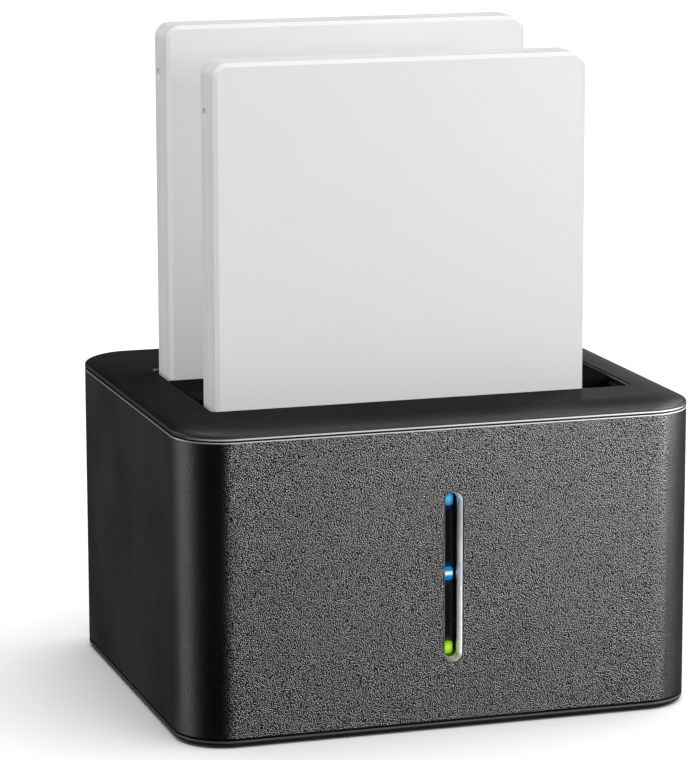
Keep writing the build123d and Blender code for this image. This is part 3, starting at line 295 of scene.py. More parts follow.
# The casing, the bay and the boards are held by slotted steel screws, turned and zinc plated.
# The fine marks of turning and drawing stay in the metal.
drawn_marks, marks_in, marks_out = new_group(
    "Drawn marks", [("Place", None), ("Mark size", 0.0002), ("Stretch", 0.06)], ["Height", "Tone"]
)
marks_scale = node_in(
    drawn_marks,
    "ShaderNodeCombineXYZ",
    -4,
    1,
    {"X": 1.0, "Y": marks_in.outputs["Stretch"], "Z": 1.0},
)
marks_place = node_in(
    drawn_marks,
    "ShaderNodeVectorMath",
    -3,
    0,
    {0: marks_in.outputs["Place"], 1: marks_scale.outputs[0]},
    operation="MULTIPLY",
)
marks_noise = node_in(
    drawn_marks,
    "ShaderNodeTexNoise",
    -1,
    0,
    {
        "Vector": marks_place.outputs[0],
        "Scale": sum_in(drawn_marks, "DIVIDE", -3, 2, 1.0, marks_in.outputs["Mark size"]),
        "Detail": 2.0,
    },
)
marks_tone = node_in(
    drawn_marks,
    "ShaderNodeMapRange",
    1,
    1,
    {"Value": marks_noise.outputs[0], "From Min": 0.3, "From Max": 0.7},
)
drawn_marks.links.new(marks_noise.outputs[0], marks_out.inputs["Height"])
drawn_marks.links.new(marks_tone.outputs[0], marks_out.inputs["Tone"])


def plain_metal(name, dark, light, roughness, mark_size=0.0002, stretch=0.06, depth=0.000006):
    """Metal with fine marks along it, darker and lighter between those colours."""
    material = new_material(name, light, roughness=roughness, metallic=1.0)
    marks = placed(material.node_tree, drawn_marks, -4, 0, mark_size=mark_size, stretch=stretch)
    shade(material, marks.outputs["Tone"], dark, light)
    emboss(material, marks.outputs["Height"], depth)
    add_gloss(material, patch_size=0.002, smooth=roughness * 0.8, rough=roughness * 1.25)
    return material


screw_steel = plain_metal(
    "Zinc plated steel",
    dark=(0.5, 0.51, 0.52),
    light=(0.66, 0.67, 0.68),
    roughness=0.32,
    stretch=1.0,
)
dress(screw_steel, "screw_steel", "base_screws", "cover_screws", "bay_screws", "board_screws")


# The main board is a glass laminate under green lacquer, with copper tracks showing through it.
# It lies on the base plate's standoffs, and its sawn edges show the straw-coloured laminate.
printed_tracks, tracks_in, tracks_out = new_group(
    "Printed tracks", [("Place", None), ("Track pitch", 0.0008)], ["Tracks", "Pads"]
)
tracks_place = tracks_in.outputs["Place"]
tracks_axes = node_in(printed_tracks, "ShaderNodeSeparateXYZ", -5, 0, {0: tracks_place})
track_pitch = tracks_in.outputs["Track pitch"]
regions_per_pitch = 0.11
holes_per_pitch = 0.28
gap_share = 0.55
poured_above = 0.72
pad_radius_share = 0.13
tracks_regions = node_in(
    printed_tracks,
    "ShaderNodeTexVoronoi",
    -4,
    2,
    {
        "Vector": tracks_place,
        "Scale": sum_in(printed_tracks, "DIVIDE", -5, 2, regions_per_pitch, track_pitch),
        "Randomness": 0.7,
    },
    distance="CHEBYCHEV",
)
tracks_lot = node_in(
    printed_tracks, "ShaderNodeSeparateColor", -3, 2, {0: tracks_regions.outputs["Color"]}
)
tracks_lines = []
for axis in (0, 1):
    folded = sum_in(printed_tracks, "PINGPONG", -3, axis, tracks_axes.outputs[axis], track_pitch)
    line_share = sum_in(printed_tracks, "DIVIDE", -2, axis, folded, track_pitch)
    tracks_lines.append(sum_in(printed_tracks, "GREATER_THAN", -1, axis, line_share, gap_share))
tracks_turn = sum_in(printed_tracks, "GREATER_THAN", -2, 2, tracks_lot.outputs[0], 0.5)
tracks_pour = sum_in(printed_tracks, "GREATER_THAN", -2, 3, tracks_lot.outputs[1], poured_above)
tracks_mixed = node_in(
    printed_tracks,
    "ShaderNodeMix",
    1,
    0,
    {"Factor": tracks_turn, "A": tracks_lines[0], "B": tracks_lines[1]},
)
tracks_all = sum_in(printed_tracks, "MAXIMUM", 3, 0, tracks_mixed.outputs[0], tracks_pour)
tracks_holes = node_in(
    printed_tracks,
    "ShaderNodeTexVoronoi",
    -1,
    4,
    {
        "Vector": tracks_place,
        "Scale": sum_in(printed_tracks, "DIVIDE", -2, 5, holes_per_pitch, track_pitch),
        "Randomness": 0.8,
    },
)
hole_off = tracks_holes.outputs["Distance"]
tracks_pads = sum_in(printed_tracks, "LESS_THAN", 1, 4, hole_off, pad_radius_share)
printed_tracks.links.new(tracks_all, tracks_out.inputs["Tracks"])
printed_tracks.links.new(tracks_pads, tracks_out.inputs["Pads"])

pad_tin = (0.62, 0.6, 0.55)
bare_laminate = (0.42, 0.36, 0.2)


def printed_board(name, lacquer, over_copper, face_axis):
    """A board with its faces along that axis: tracks under lacquer, tinned pads and bare edges."""
    material = new_material(name, lacquer, roughness=0.3)
    tree = material.node_tree
    turned = node_in(tree, "ShaderNodeMapping", -5, 0, {"Vector": place_on_piece(tree)})
    if face_axis == "Y":
        turned.inputs["Rotation"].default_value = (math.radians(90), 0, 0)
    tracks = node_in(tree, "ShaderNodeGroup", -4, 0, node_tree=printed_tracks)
    tracks.inputs["Track pitch"].default_value = 0.0007
    flat = node_in(
        tree,
        "ShaderNodeVectorMath",
        -5,
        1,
        {0: turned.outputs[0], 1: (1.0, 1.0, 0.0)},
        operation="MULTIPLY",
    )
    tree.links.new(flat.outputs[0], tracks.inputs["Place"])
    on_track = {"Factor": tracks.outputs["Tracks"]}
    on_pad = {"Factor": tracks.outputs["Pads"]}
    printed = node_in(tree, "ShaderNodeMix", -3, 0, on_track, data_type="RGBA")
    printed.inputs["A"].default_value = (*lacquer, 1.0)
    printed.inputs["B"].default_value = (*over_copper, 1.0)
    tinned = node_in(tree, "ShaderNodeMix", -2, 0, on_pad, data_type="RGBA")
    tree.links.new(printed.outputs["Result"], tinned.inputs["A"])
    tinned.inputs["B"].default_value = (*pad_tin, 1.0)
    facing = node_in(
        tree,
        "ShaderNodeSeparateXYZ",
        -4,
        3,
        {0: node_in(tree, "ShaderNodeTexCoord", -5, 3).outputs["Normal"]},
    )
    along = sum_in(tree, "ABSOLUTE", -3, 3, facing.outputs[face_axis])
    edge = sum_in(tree, "LESS_THAN", -2, 3, along, 0.5)
    whole = node_in(tree, "ShaderNodeMix", -1, 0, {"Factor": edge}, data_type="RGBA")
    tree.links.new(tinned.outputs["Result"], whole.inputs["A"])
    whole.inputs["B"].default_value = (*bare_laminate, 1.0)
    tree.links.new(whole.outputs["Result"], shader_of(material).inputs["Base Color"])
    tree.links.new(tracks.outputs["Pads"], shader_of(material).inputs["Metallic"])
    emboss(material, tracks.outputs["Tracks"], depth=0.00002, strength=0.6)
    return material


main_lacquer = printed_board("Green board", (0.012, 0.09, 0.035), (0.025, 0.17, 0.06), "Z")
dress(main_lacquer, "board_green", "main_board")


# The chips are moulded in black epoxy, with a sunken dot at the bridge chip's first pin.
# The bridge chip joins both drives to the data socket, and two smaller ones make its voltages.
chip_epoxy = new_material("Moulded chip epoxy", (0.018, 0.018, 0.019), roughness=0.55)
add_grain(
    chip_epoxy,
    grain_size=0.00012,
    contrast=0.7,
    depth=0.000008,
    dark=(0.012, 0.012, 0.013),
    light=(0.03, 0.03, 0.031),
)
add_gloss(chip_epoxy, patch_size=0.003, smooth=0.48, rough=0.6)
dress(chip_epoxy, "chip_black", "bridge_chip", "regulator_chips")


# The power coils are blocks of pressed iron powder, with a grey and slightly speckled skin.
# Both are soldered flat to the main board.
coil_powder = new_material("Pressed iron powder", (0.1, 0.1, 0.105), roughness=0.6)
add_grain(
    coil_powder,
    grain_size=0.0002,
    contrast=1.0,
    depth=0.00001,
    dark=(0.05, 0.05, 0.053),
    light=(0.16, 0.16, 0.165),
)
add_gloss(coil_powder, patch_size=0.002, smooth=0.5, rough=0.7)
dress(coil_powder, "coil_grey", "power_coils")


# The capacitors are drawn aluminium cans crimped over black bases.
# The black half moon printed on each top marks its negative lead.
can_metal = plain_metal(
    "Drawn aluminium can",
    dark=(0.7, 0.71, 0.72),
    light=(0.82, 0.83, 0.84),
    roughness=0.3,
    stretch=1.0,
)
can_tree = can_metal.node_tree
can_shader = shader_of(can_metal)
can_axes = node_in(can_tree, "ShaderNodeSeparateXYZ", -5, 5, {0: place_on_piece(can_tree, -6, 5)})
can_low, can_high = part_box("capacitor_cans")
can_middle_x = (can_low[0] + can_high[0]) / 2
can_base_height = 0.0008
half_moon_from_middle = 0.0011
print_depth = 0.0003
can_base_top = can_low[2] + can_base_height
half_moon_edge = can_middle_x + half_moon_from_middle
on_moon_side = sum_in(can_tree, "GREATER_THAN", -4, 5, can_axes.outputs["X"], half_moon_edge)
near_top = sum_in(can_tree, "GREATER_THAN", -4, 6, can_axes.outputs["Z"], can_high[2] - print_depth)
half_moon = sum_in(can_tree, "MULTIPLY", -3, 5, on_moon_side, near_top)
on_base = sum_in(can_tree, "LESS_THAN", -4, 7, can_axes.outputs["Z"], can_base_top)
printed_black = sum_in(can_tree, "MAXIMUM", -2, 5, half_moon, on_base)
can_tone = can_shader.inputs["Base Color"].links[0].from_socket
can_mix = node_in(
    can_tree, "ShaderNodeMix", -1, 5, {"Factor": printed_black, "A": can_tone}, data_type="RGBA"
)
can_mix.inputs["B"].default_value = (0.012, 0.012, 0.013, 1.0)
can_tree.links.new(can_mix.outputs["Result"], can_shader.inputs["Base Color"])
bare_metal = sum_in(can_tree, "SUBTRACT", -1, 6, 1.0, printed_black)
can_tree.links.new(bare_metal, can_shader.inputs["Metallic"])
dress(can_metal, "can_aluminium", "capacitor_cans")


# The clock crystal sits in a pressed steel case with round ends.
# It is soldered to the main board.
crystal_case = plain_metal(
    "Pressed steel case",
    dark=(0.5, 0.5, 0.51),
    light=(0.62, 0.62, 0.63),
    roughness=0.28,
    stretch=0.1,
)
dress(crystal_case, "crystal_steel", "clock_crystal")


# The chip capacitors are fired tan ceramic blocks with tinned ends.
# They are soldered to the main board in two rows.
chip_ceramic = new_material("Fired tan ceramic", (0.34, 0.24, 0.14), roughness=0.45)
ceramic_tree = chip_ceramic.node_tree
ceramic_low, ceramic_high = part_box("chip_capacitors")
ceramic_middle_x = (ceramic_low[0] + ceramic_high[0]) / 2
ceramic_spacing = 0.005
ceramic_body_half = 0.00065
ceramic_place = place_on_piece(ceramic_tree)
ceramic_axes = node_in(ceramic_tree, "ShaderNodeSeparateXYZ", -6, 0, {0: ceramic_place})
ceramic_off = sum_in(ceramic_tree, "SUBTRACT", -5, 0, ceramic_axes.outputs["X"], ceramic_middle_x)
ceramic_from_middle = sum_in(ceramic_tree, "PINGPONG", -4, 0, ceramic_off, ceramic_spacing / 2)
tinned_end = sum_in(ceramic_tree, "GREATER_THAN", -3, 0, ceramic_from_middle, ceramic_body_half)
shade(chip_ceramic, tinned_end, (0.34, 0.24, 0.14), (0.66, 0.65, 0.62))
ceramic_tree.links.new(tinned_end, shader_of(chip_ceramic).inputs["Metallic"])
add_gloss(chip_ceramic, patch_size=0.001, smooth=0.35, rough=0.5)
dress(chip_ceramic, "cap_ceramic", "chip_capacitors")


# Each drive stands on a socket moulded in black glass-filled plastic, soldered to the main board.
# Its twenty-two contacts are stamped in bronze and gold plated.
socket_plastic = new_material("Glass filled socket plastic", (0.014, 0.014, 0.015), roughness=0.45)
add_grain(
    socket_plastic,
    grain_size=0.0002,
    contrast=0.8,
    depth=0.000006,
    dark=grey(0.01),
    light=(0.024, 0.024, 0.025),
)
add_gloss(socket_plastic, patch_size=0.004, smooth=0.38, rough=0.52)
dress(socket_plastic, "socket_black", "front_drive_socket", "rear_drive_socket")
plated_gold = plain_metal(
    "Gold plating",
    dark=(0.78, 0.52, 0.2),
    light=(0.92, 0.66, 0.3),
    roughness=0.24,
    stretch=0.1,
)
dress(plated_gold, "contact_gold", "front_socket_contacts", "rear_socket_contacts")


# The data socket is a folded steel shell, nickel plated, round a blue insert with its contacts.
# It is soldered to the main board and looks out through the back wall.
shell_steel = plain_metal(
    "Nickel plated shell",
    dark=(0.56, 0.56, 0.56),
    light=(0.7, 0.69, 0.68),
    roughness=0.26,
    stretch=0.05,
)
dress(shell_steel, "socket_steel", "data_socket_shell")
insert_plastic = new_material("Blue insert plastic", (0.01, 0.07, 0.42), roughness=0.42)
add_grain(
    insert_plastic,
    grain_size=0.0002,
    contrast=0.6,
    depth=0.000005,
    dark=(0.008, 0.055, 0.36),
    light=(0.013, 0.09, 0.48),
)
add_gloss(insert_plastic, patch_size=0.003, smooth=0.36, rough=0.48)
dress(insert_plastic, "insert_blue", "data_socket_insert")
dress(plated_gold, "contact_gold", "data_socket_contacts")


# The power inlet is a black block with a round bore and a nickel plated centre pin.
# It is soldered to the main board and looks out through the back wall.
dress(socket_plastic, "socket_black", "power_inlet_body")
dress(shell_steel, "socket_steel", "power_inlet_pin")


# The power switch is a frame with a glossy rocker on two pins, in a recess of the back wall.
# The rocker is pressed in on one side, and its terminals are bent down to the main board.
dress(socket_plastic, "socket_black", "power_switch_frame")
rocker_plastic = new_material("Polished rocker plastic", (0.014, 0.014, 0.015), roughness=0.22)
add_gloss(rocker_plastic, patch_size=0.004, smooth=0.17, rough=0.28)
rocker_tree = rocker_plastic.node_tree
rocker_axes = node_in(rocker_tree, "ShaderNodeSeparateXYZ", -6, 0, {0: place_on_piece(rocker_tree)})
rocker_low, rocker_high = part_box("power_rocker")
rocker_middle_z = (rocker_low[2] + rocker_high[2]) / 2
mark_line_half_width = 0.00018
bar_half_length = 0.0011
mark_from_middle = 0.0032
ring_radius = 0.0011
off_z = sum_in(rocker_tree, "SUBTRACT", -5, 0, rocker_axes.outputs["Z"], rocker_middle_z)
off_z_square = sum_in(rocker_tree, "MULTIPLY", -4, 1, off_z, off_z)
# The ring is on the half that is drawn pressed in, and the bar on the other
ring_x = sum_in(rocker_tree, "ADD", -5, 2, rocker_axes.outputs["X"], mark_from_middle)
ring_square = sum_in(rocker_tree, "MULTIPLY_ADD", -3, 2, ring_x, ring_x, off_z_square)
ring_from_middle = sum_in(rocker_tree, "SQRT", -2, 2, ring_square)
on_ring = sum_in(
    rocker_tree, "COMPARE", -1, 2, ring_from_middle, ring_radius, mark_line_half_width
)
bar_x = sum_in(rocker_tree, "SUBTRACT", -5, 4, rocker_axes.outputs["X"], mark_from_middle)
on_bar_line = sum_in(rocker_tree, "COMPARE", -3, 4, bar_x, 0.0, mark_line_half_width)
on_bar_reach = sum_in(rocker_tree, "COMPARE", -3, 5, off_z, 0.0, bar_half_length)
on_bar = sum_in(rocker_tree, "MULTIPLY", -2, 4, on_bar_line, on_bar_reach)
printed_white = sum_in(rocker_tree, "MAXIMUM", -1, 4, on_ring, on_bar)
shade(rocker_plastic, printed_white, (0.014, 0.014, 0.015), grey(0.7))
dress(rocker_plastic, "rocker_plastic", "power_rocker")
terminal_tin = plain_metal(
    "Tinned terminals",
    dark=(0.52, 0.52, 0.5),
    light=(0.66, 0.65, 0.63),
    roughness=0.36,
    stretch=0.1,
)
dress(terminal_tin, "socket_steel", "switch_terminals")


# The bay insert is one matt black moulding with a pocket for each drive and a deck between them.
# It is screwed up under the cover.
# The bay's colour, near 0.003, is darker than black plastic: the plastic's own black with painted
# shade for the deep well added to it.
bay_plastic = new_material("Matt bay plastic in painted shade", grey(0.003), roughness=0.7, specular=0.01)
add_grain(
    bay_plastic,
    grain_size=0.0004,
    contrast=0.9,
    depth=0.00002,
    dark=grey(0.0015),
    light=grey(0.0045),
)
add_gloss(bay_plastic, patch_size=0.01, smooth=0.52, rough=0.68)
dress(bay_plastic, "bay_plastic", "bay_insert")


# The body shell is a deep sleeve moulded in dark grey plastic with metal flake in it.
# Its front and back have a spark grain as fine as sand, and its corners and sides are smoother.
body_plastic = new_material("Flaked grey plastic", grey(0.1), roughness=0.42, metallic=1.0)
body_grain = add_grain(
    body_plastic,
    grain_size=0.00022,
    contrast=1.0,
    depth=0.00013,
    dark=grey(0.015),
    light=grey(0.33),
)
body_tree = body_plastic.node_tree
body_facing = node_in(
    body_tree,
    "ShaderNodeSeparateXYZ",
    -9,
    1,
    {0: node_in(body_tree, "ShaderNodeTexCoord", -10, 1).outputs["Normal"]},
)
body_flat = sum_in(body_tree, "ABSOLUTE", -8, 1, body_facing.outputs["Y"])
body_contrast = node_in(
    body_tree,
    "ShaderNodeMapRange",
    -7,
    1,
    {"Value": body_flat, "From Min": 0.94, "From Max": 1.0, "To Min": 0.25, "To Max": 1.3},
)
body_tree.links.new(body_contrast.outputs[0], body_grain.inputs["Contrast"])
add_gloss(body_plastic, patch_size=0.02, smooth=0.38, rough=0.44)
body_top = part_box("body_shell")[1][2]
sliver = 0.00001
# A painted highlight: a thin pale band along the body's top edge under the seam, weaker on the
# sides.
paint_edge_band(body_plastic, body_top - highlight_width, body_top - sliver, grey(0.85), sides=0.6)
dress(body_plastic, "body_plastic", "body_shell")


# The light bar's bezel is a chrome plated ring with a tapered mouth, flanged behind the front wall.
# A polished black channel stands behind it, with a window for each of the three lamps.
# Clear light pipes fill the windows and reach back to the lamps.
bezel_chrome = new_material("Bezel chrome", (0.9, 0.9, 0.91), roughness=0.42, metallic=1.0)
add_gloss(bezel_chrome, patch_size=0.004, smooth=0.38, rough=0.46)
dress(bezel_chrome, "bezel_chrome", "light_bar_bezel")

lamp_glow, glow_in, glow_out = new_group(
    "Lamp glow", [("Place", None), ("Middle", None), ("Reach", None)], ["Glow"]
)
glow_off = node_in(
    lamp_glow,
    "ShaderNodeVectorMath",
    -4,
    0,
    {0: glow_in.outputs["Place"], 1: glow_in.outputs["Middle"]},
    operation="SUBTRACT",
)
glow_share = node_in(
    lamp_glow,
    "ShaderNodeVectorMath",
    -2,
    0,
    {0: glow_off.outputs[0], 1: glow_in.outputs["Reach"]},
    operation="DIVIDE",
)
glow_far = node_in(
    lamp_glow, "ShaderNodeVectorMath", 0, 0, {0: glow_share.outputs[0]}, operation="LENGTH"
)
glow_fade = node_in(
    lamp_glow,
    "ShaderNodeMapRange",
    2,
    0,
    {"Value": glow_far.outputs["Value"], "From Min": 1.0, "From Max": 0.0},
    interpolation_type="SMOOTHSTEP",
)
lamp_glow.links.new(glow_fade.outputs[0], glow_out.inputs["Glow"])


def glow_round(tree, lamp, across, up, row):
    """How near a point is to the middle of that lamp's face, 1 at the middle and 0 at its reach."""
    low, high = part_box(lamp)
    glow = placed(tree, lamp_glow, -4, row)
    glow.inputs["Middle"].default_value = ((low[0] + high[0]) / 2, low[1], (low[2] + high[2]) / 2)
    glow.inputs["Reach"].default_value = (across, 1.0, up)
    return glow.outputs["Glow"]


unlit_share = 0.2


def lit_lamp(name, slot, lamp, core, rim, across, up):
    """A clear light pipe with its lamp lit behind it: a bright core that fades to the rim."""
    material = new_material(name, tuple(unlit_share * part for part in rim), roughness=0.15)
    shader_of(material).inputs["Emission Strength"].default_value = 1.0
    glow = glow_round(material.node_tree, lamp, across, up, 0)
    shade(material, glow, rim, core, "Emission Color")
    add_gloss(material, patch_size=0.001, smooth=0.12, rough=0.2)
    dress(material, slot, lamp)


lit_lamp(
    "Blue lamp",
    "lamp_blue",
    "upper_lamp",
    core=(0.1, 0.5, 0.75),
    rim=(0.0, 0.1, 0.3),
    across=0.0011,
    up=0.0015,
)
lit_lamp(
    "Pale blue lamp",
    "lamp_pale_blue",
    "middle_lamp",
    core=(0.85, 1.0, 1.0),
    rim=(0.0, 0.21, 0.5),
    across=0.0026,
    up=0.0006,
)
lit_lamp(
    "Green lamp",
    "lamp_green",
    "lower_lamp",
    core=(0.6, 0.85, 0.06),
    rim=(0.1, 0.3, 0.0),
    across=0.0012,
    up=0.0015,
)

strip_plastic = new_material("Polished black channel", (0.02, 0.02, 0.021), roughness=0.25)
strip_tree = strip_plastic.node_tree
add_gloss(strip_plastic, patch_size=0.003, smooth=0.1, rough=0.16)
# Round each lamp's window the channel is painted with that lamp's light, as a glow set in its
# emission: painted light, not a lamp of its own.
spill_across = 0.0011
spill_up = 0.0026
strip_light = None
for lamp, spill, row in (
    ("upper_lamp", (0.0, 0.05, 0.3), 0),
    ("middle_lamp", (0.0, 0.12, 0.4), 1),
    ("lower_lamp", (0.1, 0.25, 0.0), 2),
):
    near = glow_round(strip_tree, lamp, spill_across, spill_up, row)
    spilt = node_in(
        strip_tree, "ShaderNodeMix", -2 + row, row + 4, {"Factor": near}, data_type="RGBA"
    )
    if strip_light is None:
        spilt.inputs["A"].default_value = (0.0, 0.0, 0.0, 1.0)
    else:
        strip_tree.links.new(strip_light, spilt.inputs["A"])
    spilt.inputs["B"].default_value = (*spill, 1.0)
    strip_light = spilt.outputs["Result"]
strip_tree.links.new(strip_light, shader_of(strip_plastic).inputs["Emission Color"])
shader_of(strip_plastic).inputs["Emission Strength"].default_value = 0.5
dress(strip_plastic, "strip_gloss", "light_bar_strip")


# Behind the channel stands the white lamp board, with a lamp chip for each pipe.
# A pin header joins it to the main board.
phosphor = new_material("Lamp chip phosphor", (0.75, 0.62, 0.16), roughness=0.5)
add_grain(
    phosphor,
    grain_size=0.0001,
    contrast=0.6,
    depth=0.000004,
    dark=(0.66, 0.52, 0.1),
    light=(0.84, 0.72, 0.24),
)
dress(phosphor, "lamp_chip", "lamp_chips")
lamp_lacquer = printed_board("White board", (0.72, 0.73, 0.71), (0.62, 0.63, 0.61), "Y")
dress(lamp_lacquer, "board_white", "lamp_board")
dress(socket_plastic, "socket_black", "board_header")
dress(plated_gold, "contact_gold", "header_pins")


# The top cover is a satin black frame round the bay, with a crowned rim.
# It is moulded in one piece and screwed down on the body from inside.
cover_plastic = new_material("Satin black plastic", grey(0.06), roughness=0.38, metallic=1.0)
shader_of(cover_plastic).inputs["Specular Tint"].default_value = (*grey(0.2), 1.0)
add_grain(
    cover_plastic,
    grain_size=0.0003,
    contrast=0.8,
    depth=0.000008,
    dark=grey(0.065),
    light=grey(0.09),
)
add_gloss(cover_plastic, patch_size=0.02, smooth=0.44, rough=0.5)
cover_bottom = body_top + seam_gap
cover_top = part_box("top_cover")[1][2]
cover_highlight_width = 0.00028
rim_foot_width = 0.0005
cover_highlight_top = cover_bottom + cover_highlight_width
# A painted highlight: a thin pale band along the cover's lower edge over the seam, on the front and
# back only.
paint_edge_band(cover_plastic, cover_bottom + sliver, cover_highlight_top, grey(0.8), sides=0.0)
# Above it, the foot of the rim is painted flat dark grey, without its grain and metal.
paint_edge_band(cover_plastic, cover_highlight_top, cover_highlight_top + rim_foot_width, grey(0.06), row=8)
# A painted highlight: a thin pale band round the upright top edge of the well.
paint_edge_band(cover_plastic, cover_top - highlight_width, cover_top - sliver, grey(0.7), row=10)
dress(cover_plastic, "cover_plastic", "top_cover")


# Each drive's case is an aluminium lid and tray, finished in a fine and even silver white satin.
# They meet in a thin parting line, and the screw holes are in the tray.
# Inside are a circuit board with its chips, and the plug that goes into the socket below.
drive_metal = new_material("Silver white satin", grey(0.8), roughness=0.45)
add_grain(
    drive_metal, grain_size=0.0002, contrast=1.0, depth=0.000006, dark=grey(0.79), light=grey(0.84)
)
add_gloss(drive_metal, patch_size=0.012, smooth=0.4, rough=0.5)
drive_lacquer = printed_board("Drive board", (0.01, 0.075, 0.045), (0.022, 0.15, 0.08), "Y")
plug_plastic = new_material("Drive plug plastic", (0.016, 0.016, 0.017), roughness=0.4)
add_grain(
    plug_plastic,
    grain_size=0.00018,
    contrast=0.8,
    depth=0.000006,
    dark=grey(0.011),
    light=(0.026, 0.026, 0.027),
)
add_gloss(plug_plastic, patch_size=0.004, smooth=0.34, rough=0.46)
for side in ("front", "rear"):
    dress(drive_metal, "drive_white", f"{side}_drive_lid", f"{side}_drive_tray")
    dress(drive_lacquer, "board_green", f"{side}_drive_board")
    dress(chip_epoxy, "chip_black", f"{side}_drive_memory", f"{side}_drive_controller")
    dress(plug_plastic, "drive_socket_plastic", f"{side}_drive_plug")
    dress(plated_gold, "contact_gold", f"{side}_plug_contacts")


# A plain pale floor under the station, which shows nothing but the soft shadow.
# It is part of the picture, not of the station, and neither lights it nor shows in its gloss.
floor_mesh = bpy.data.meshes.new("floor")
floor_half = 6.0
floor_corners = [
    (-floor_half, -floor_half, 0),
    (floor_half, -floor_half, 0),
    (floor_half, floor_half, 0),
    (-floor_half, floor_half, 0),
]
floor_mesh.from_pydata(floor_corners, [], [(0, 1, 2, 3)])
floor = bpy.data.objects.new("floor", floor_mesh)
bpy.context.scene.collection.objects.link(floor)
floor_white = new_material("Floor white", grey(0.95), roughness=1.0, specular=0.0)
floor_mesh.materials.append(floor_white)
floor.visible_glossy = False
floor.visible_diffuse = False
floor.visible_shadow = False


# Soft studio lamps, each linked to what it lights: the station, the drives, the cover alone, the
# bezel or the floor. The drives' lamps light the sockets under them too, and the station's lamps
# the plugs' contacts.
def receivers(name, objects):
    """A group of objects that a lamp shines on."""
    group = bpy.data.collections.new(name)
    for thing in objects:
        group.objects.link(thing)
    return group


drive_pieces = receivers("the drives", [piece for name, piece in nodes.items() if "drive_" in name])
station_pieces = receivers(
    "the docking station",
    [piece for name, piece in nodes.items() if "drive_" not in name and name != "light_bar_bezel"],
)
bezel_only = receivers("the bezel alone", [nodes["light_bar_bezel"]])
cover_only = receivers("the cover alone", [nodes["top_cover"]])
floor_only = receivers("the floor alone", [floor])


middle = (0.0, 0.0, 0.05)
box_size = (0.26, 0.26)


def softbox(name, place, brightness, lit, size=box_size, aim=middle):
    """A soft lamp of that brightness and size, pointing at aim, which lights that group alone."""
    lamp = bpy.data.lights.new(name, "AREA")
    lamp.shape = "RECTANGLE"
    lamp.size, lamp.size_y = size
    lamp.energy = brightness * math.pi * size[0] * size[1]
    made = bpy.data.objects.new(name, lamp)
    bpy.context.scene.collection.objects.link(made)
    made.location = place
    made.rotation_euler = (Vector(aim) - Vector(place)).to_track_quat("-Z", "Y").to_euler()
    made.light_linking.receiver_collection = lit


softbox("right front softbox", (0.64, -0.37, 0.21), 14.0, station_pieces)
softbox("right rear softbox", (0.51, 0.3, 0.51), 12.0, station_pieces)
softbox("right side softbox", (0.58, -0.1, 0.51), 5.0, station_pieces)
softbox("rear top softbox", (-0.12, 0.33, 0.71), 2.0, station_pieces)
softbox("left rear softbox", (-0.64, 0.37, 0.21), 6.2, station_pieces)
softbox("low left softbox", (-0.72, 0.13, -0.11), 1.4, station_pieces)
softbox("front right card", (0.16, -0.16, 0.12), 9.5, station_pieces, (0.05, 0.05))
softbox("right corner card", (0.2, -0.1, 0.12), 10.0, station_pieces, (0.06, 0.06))
softbox("near corner card", (0.09, -0.09, 0.09), 15.0, station_pieces, (0.03, 0.03))
softbox("back right card", (0.25, 0.5, 0.15), 5.4, cover_only, (0.15, 0.15))
softbox("drive front softbox", (-0.38, -0.45, 0.51), 12.0, drive_pieces)
softbox("drive front card", (0.26, -0.36, 0.17), 10.5, drive_pieces, (0.12, 0.12))
softbox("drive near card", (0.07, -0.12, 0.12), 4.0, drive_pieces, (0.03, 0.03))
softbox("drive right softbox", (0.58, -0.1, 0.51), 7.5, drive_pieces)
softbox("drive rear softbox", (0.51, 0.3, 0.51), 10.0, drive_pieces)
softbox("drive top softbox", (-0.12, 0.33, 0.71), 2.2, drive_pieces)
softbox("drive left softbox", (-0.64, 0.37, 0.21), 4.6, drive_pieces)
softbox("drive low softbox", (0.64, -0.37, -0.11), 2.9, drive_pieces)
bar_foot = (0.0, -0.04, 0.015)
bar_middle = (0.0, -0.04, 0.03)
softbox("bezel side card", (-0.08, -0.07, -0.015), 48.0, bezel_only, (0.05, 0.04), bar_foot)
softbox("bezel top card", (-0.02, -0.2, 0.3), 7.0, bezel_only, (0.15, 0.15), bar_middle)

overcast = bpy.data.lights.new("floor light", "SUN")
overcast.energy = 3.3
overcast.angle = math.radians(100)
floor_light = bpy.data.objects.new("floor light", overcast)
bpy.context.scene.collection.objects.link(floor_light)
floor_light.rotation_euler = (math.radians(5), math.radians(20), 0)
floor_light.light_linking.receiver_collection = floor_only


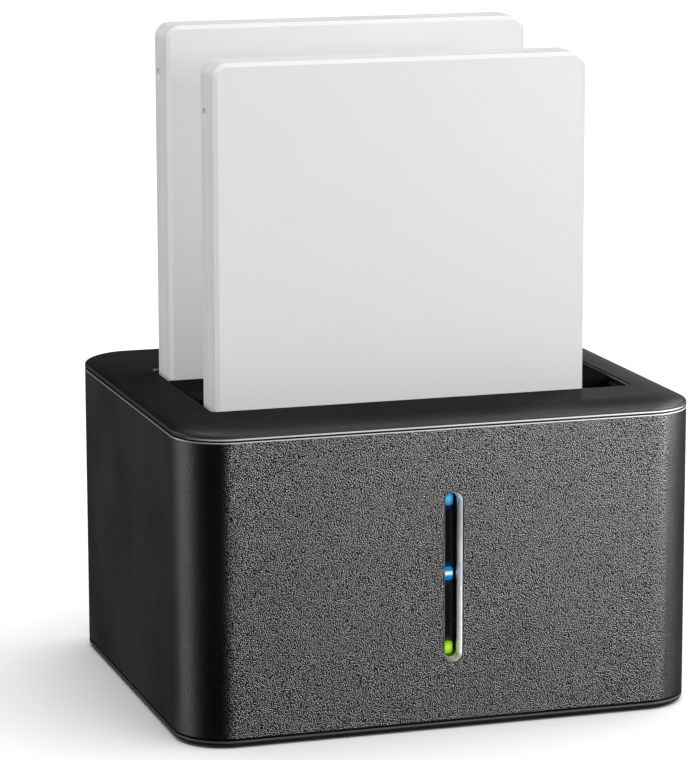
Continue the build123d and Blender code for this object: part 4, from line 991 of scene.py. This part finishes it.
# The world is white to the camera and through what is clear, and gives a low even light.
# In gloss it is white overhead alone and nearly dark all round, which keeps the dark faces dark.
world = bpy.data.worlds.new("studio")
bpy.context.scene.world = world
world.use_nodes = True
world.cycles.sampling_method = "NONE"
world_tree = world.node_tree
world_light = world_tree.nodes["Background"]
seen_by = node_in(world_tree, "ShaderNodeLightPath", -6, 0)
fill_light = 0.32
looking = node_in(
    world_tree,
    "ShaderNodeSeparateXYZ",
    -5,
    2,
    {0: node_in(world_tree, "ShaderNodeTexCoord", -6, 2).outputs["Generated"]},
)
overhead = node_in(
    world_tree,
    "ShaderNodeMapRange",
    -4,
    2,
    {
        "Value": looking.outputs["Z"],
        "From Min": 0.75,
        "From Max": 0.95,
        "To Min": 0.01,
        "To Max": 1.0,
    },
    interpolation_type="SMOOTHSTEP",
)
by_gloss = seen_by.outputs["Is Glossy Ray"]
by_camera = seen_by.outputs["Is Camera Ray"]
through_clear = seen_by.outputs["Is Transmission Ray"]
in_gloss = sum_in(world_tree, "MULTIPLY", -3, 1, by_gloss, overhead.outputs[0])
seen_white = sum_in(world_tree, "ADD", -4, 0, by_camera, through_clear)
white_or_gloss = sum_in(world_tree, "ADD", -2, 0, seen_white, in_gloss)
world_strength = sum_in(
    world_tree, "MULTIPLY_ADD", -1, 0, seen_by.outputs["Is Diffuse Ray"], fill_light, white_or_gloss
)
world_tree.links.new(world_strength, world_light.inputs["Strength"])
world_light.inputs["Color"].default_value = (1.0, 1.0, 1.0, 1.0)


# The camera stands where the photograph was taken from, as the edges of the casing and drives show.
# Its place is given as steps right, up and back from the middle of the station's foot.
camera_yaw = math.radians(17.41)
camera_pitch = math.radians(11.02)
camera_roll = math.radians(0.14)
camera_shift_right = -0.00585
camera_shift_up = 0.05529
camera_distance = 0.66866
focal_pixels = 3500
picture_height = 760
level_right = Vector((math.cos(camera_yaw), -math.sin(camera_yaw), 0))
forward = Vector(
    (
        math.sin(camera_yaw) * math.cos(camera_pitch),
        math.cos(camera_yaw) * math.cos(camera_pitch),
        -math.sin(camera_pitch),
    )
)
level_up = level_right.cross(forward)
right = level_right * math.cos(camera_roll) - level_up * math.sin(camera_roll)
up = level_right * math.sin(camera_roll) + level_up * math.cos(camera_roll)
camera_aside = level_right * camera_shift_right + level_up * camera_shift_up
camera_place = camera_aside - forward * camera_distance
camera_data = bpy.data.cameras.new("camera")
camera_data.sensor_width = 36
camera_data.lens = focal_pixels / picture_height * camera_data.sensor_width
camera = bpy.data.objects.new("camera", camera_data)
bpy.context.scene.collection.objects.link(camera)
camera_turn = Matrix((right, up, -forward)).transposed().to_4x4()
camera.matrix_world = Matrix.Translation(camera_place) @ camera_turn
bpy.context.scene.camera = camera
bpy.context.scene.view_settings.view_transform = "Standard"
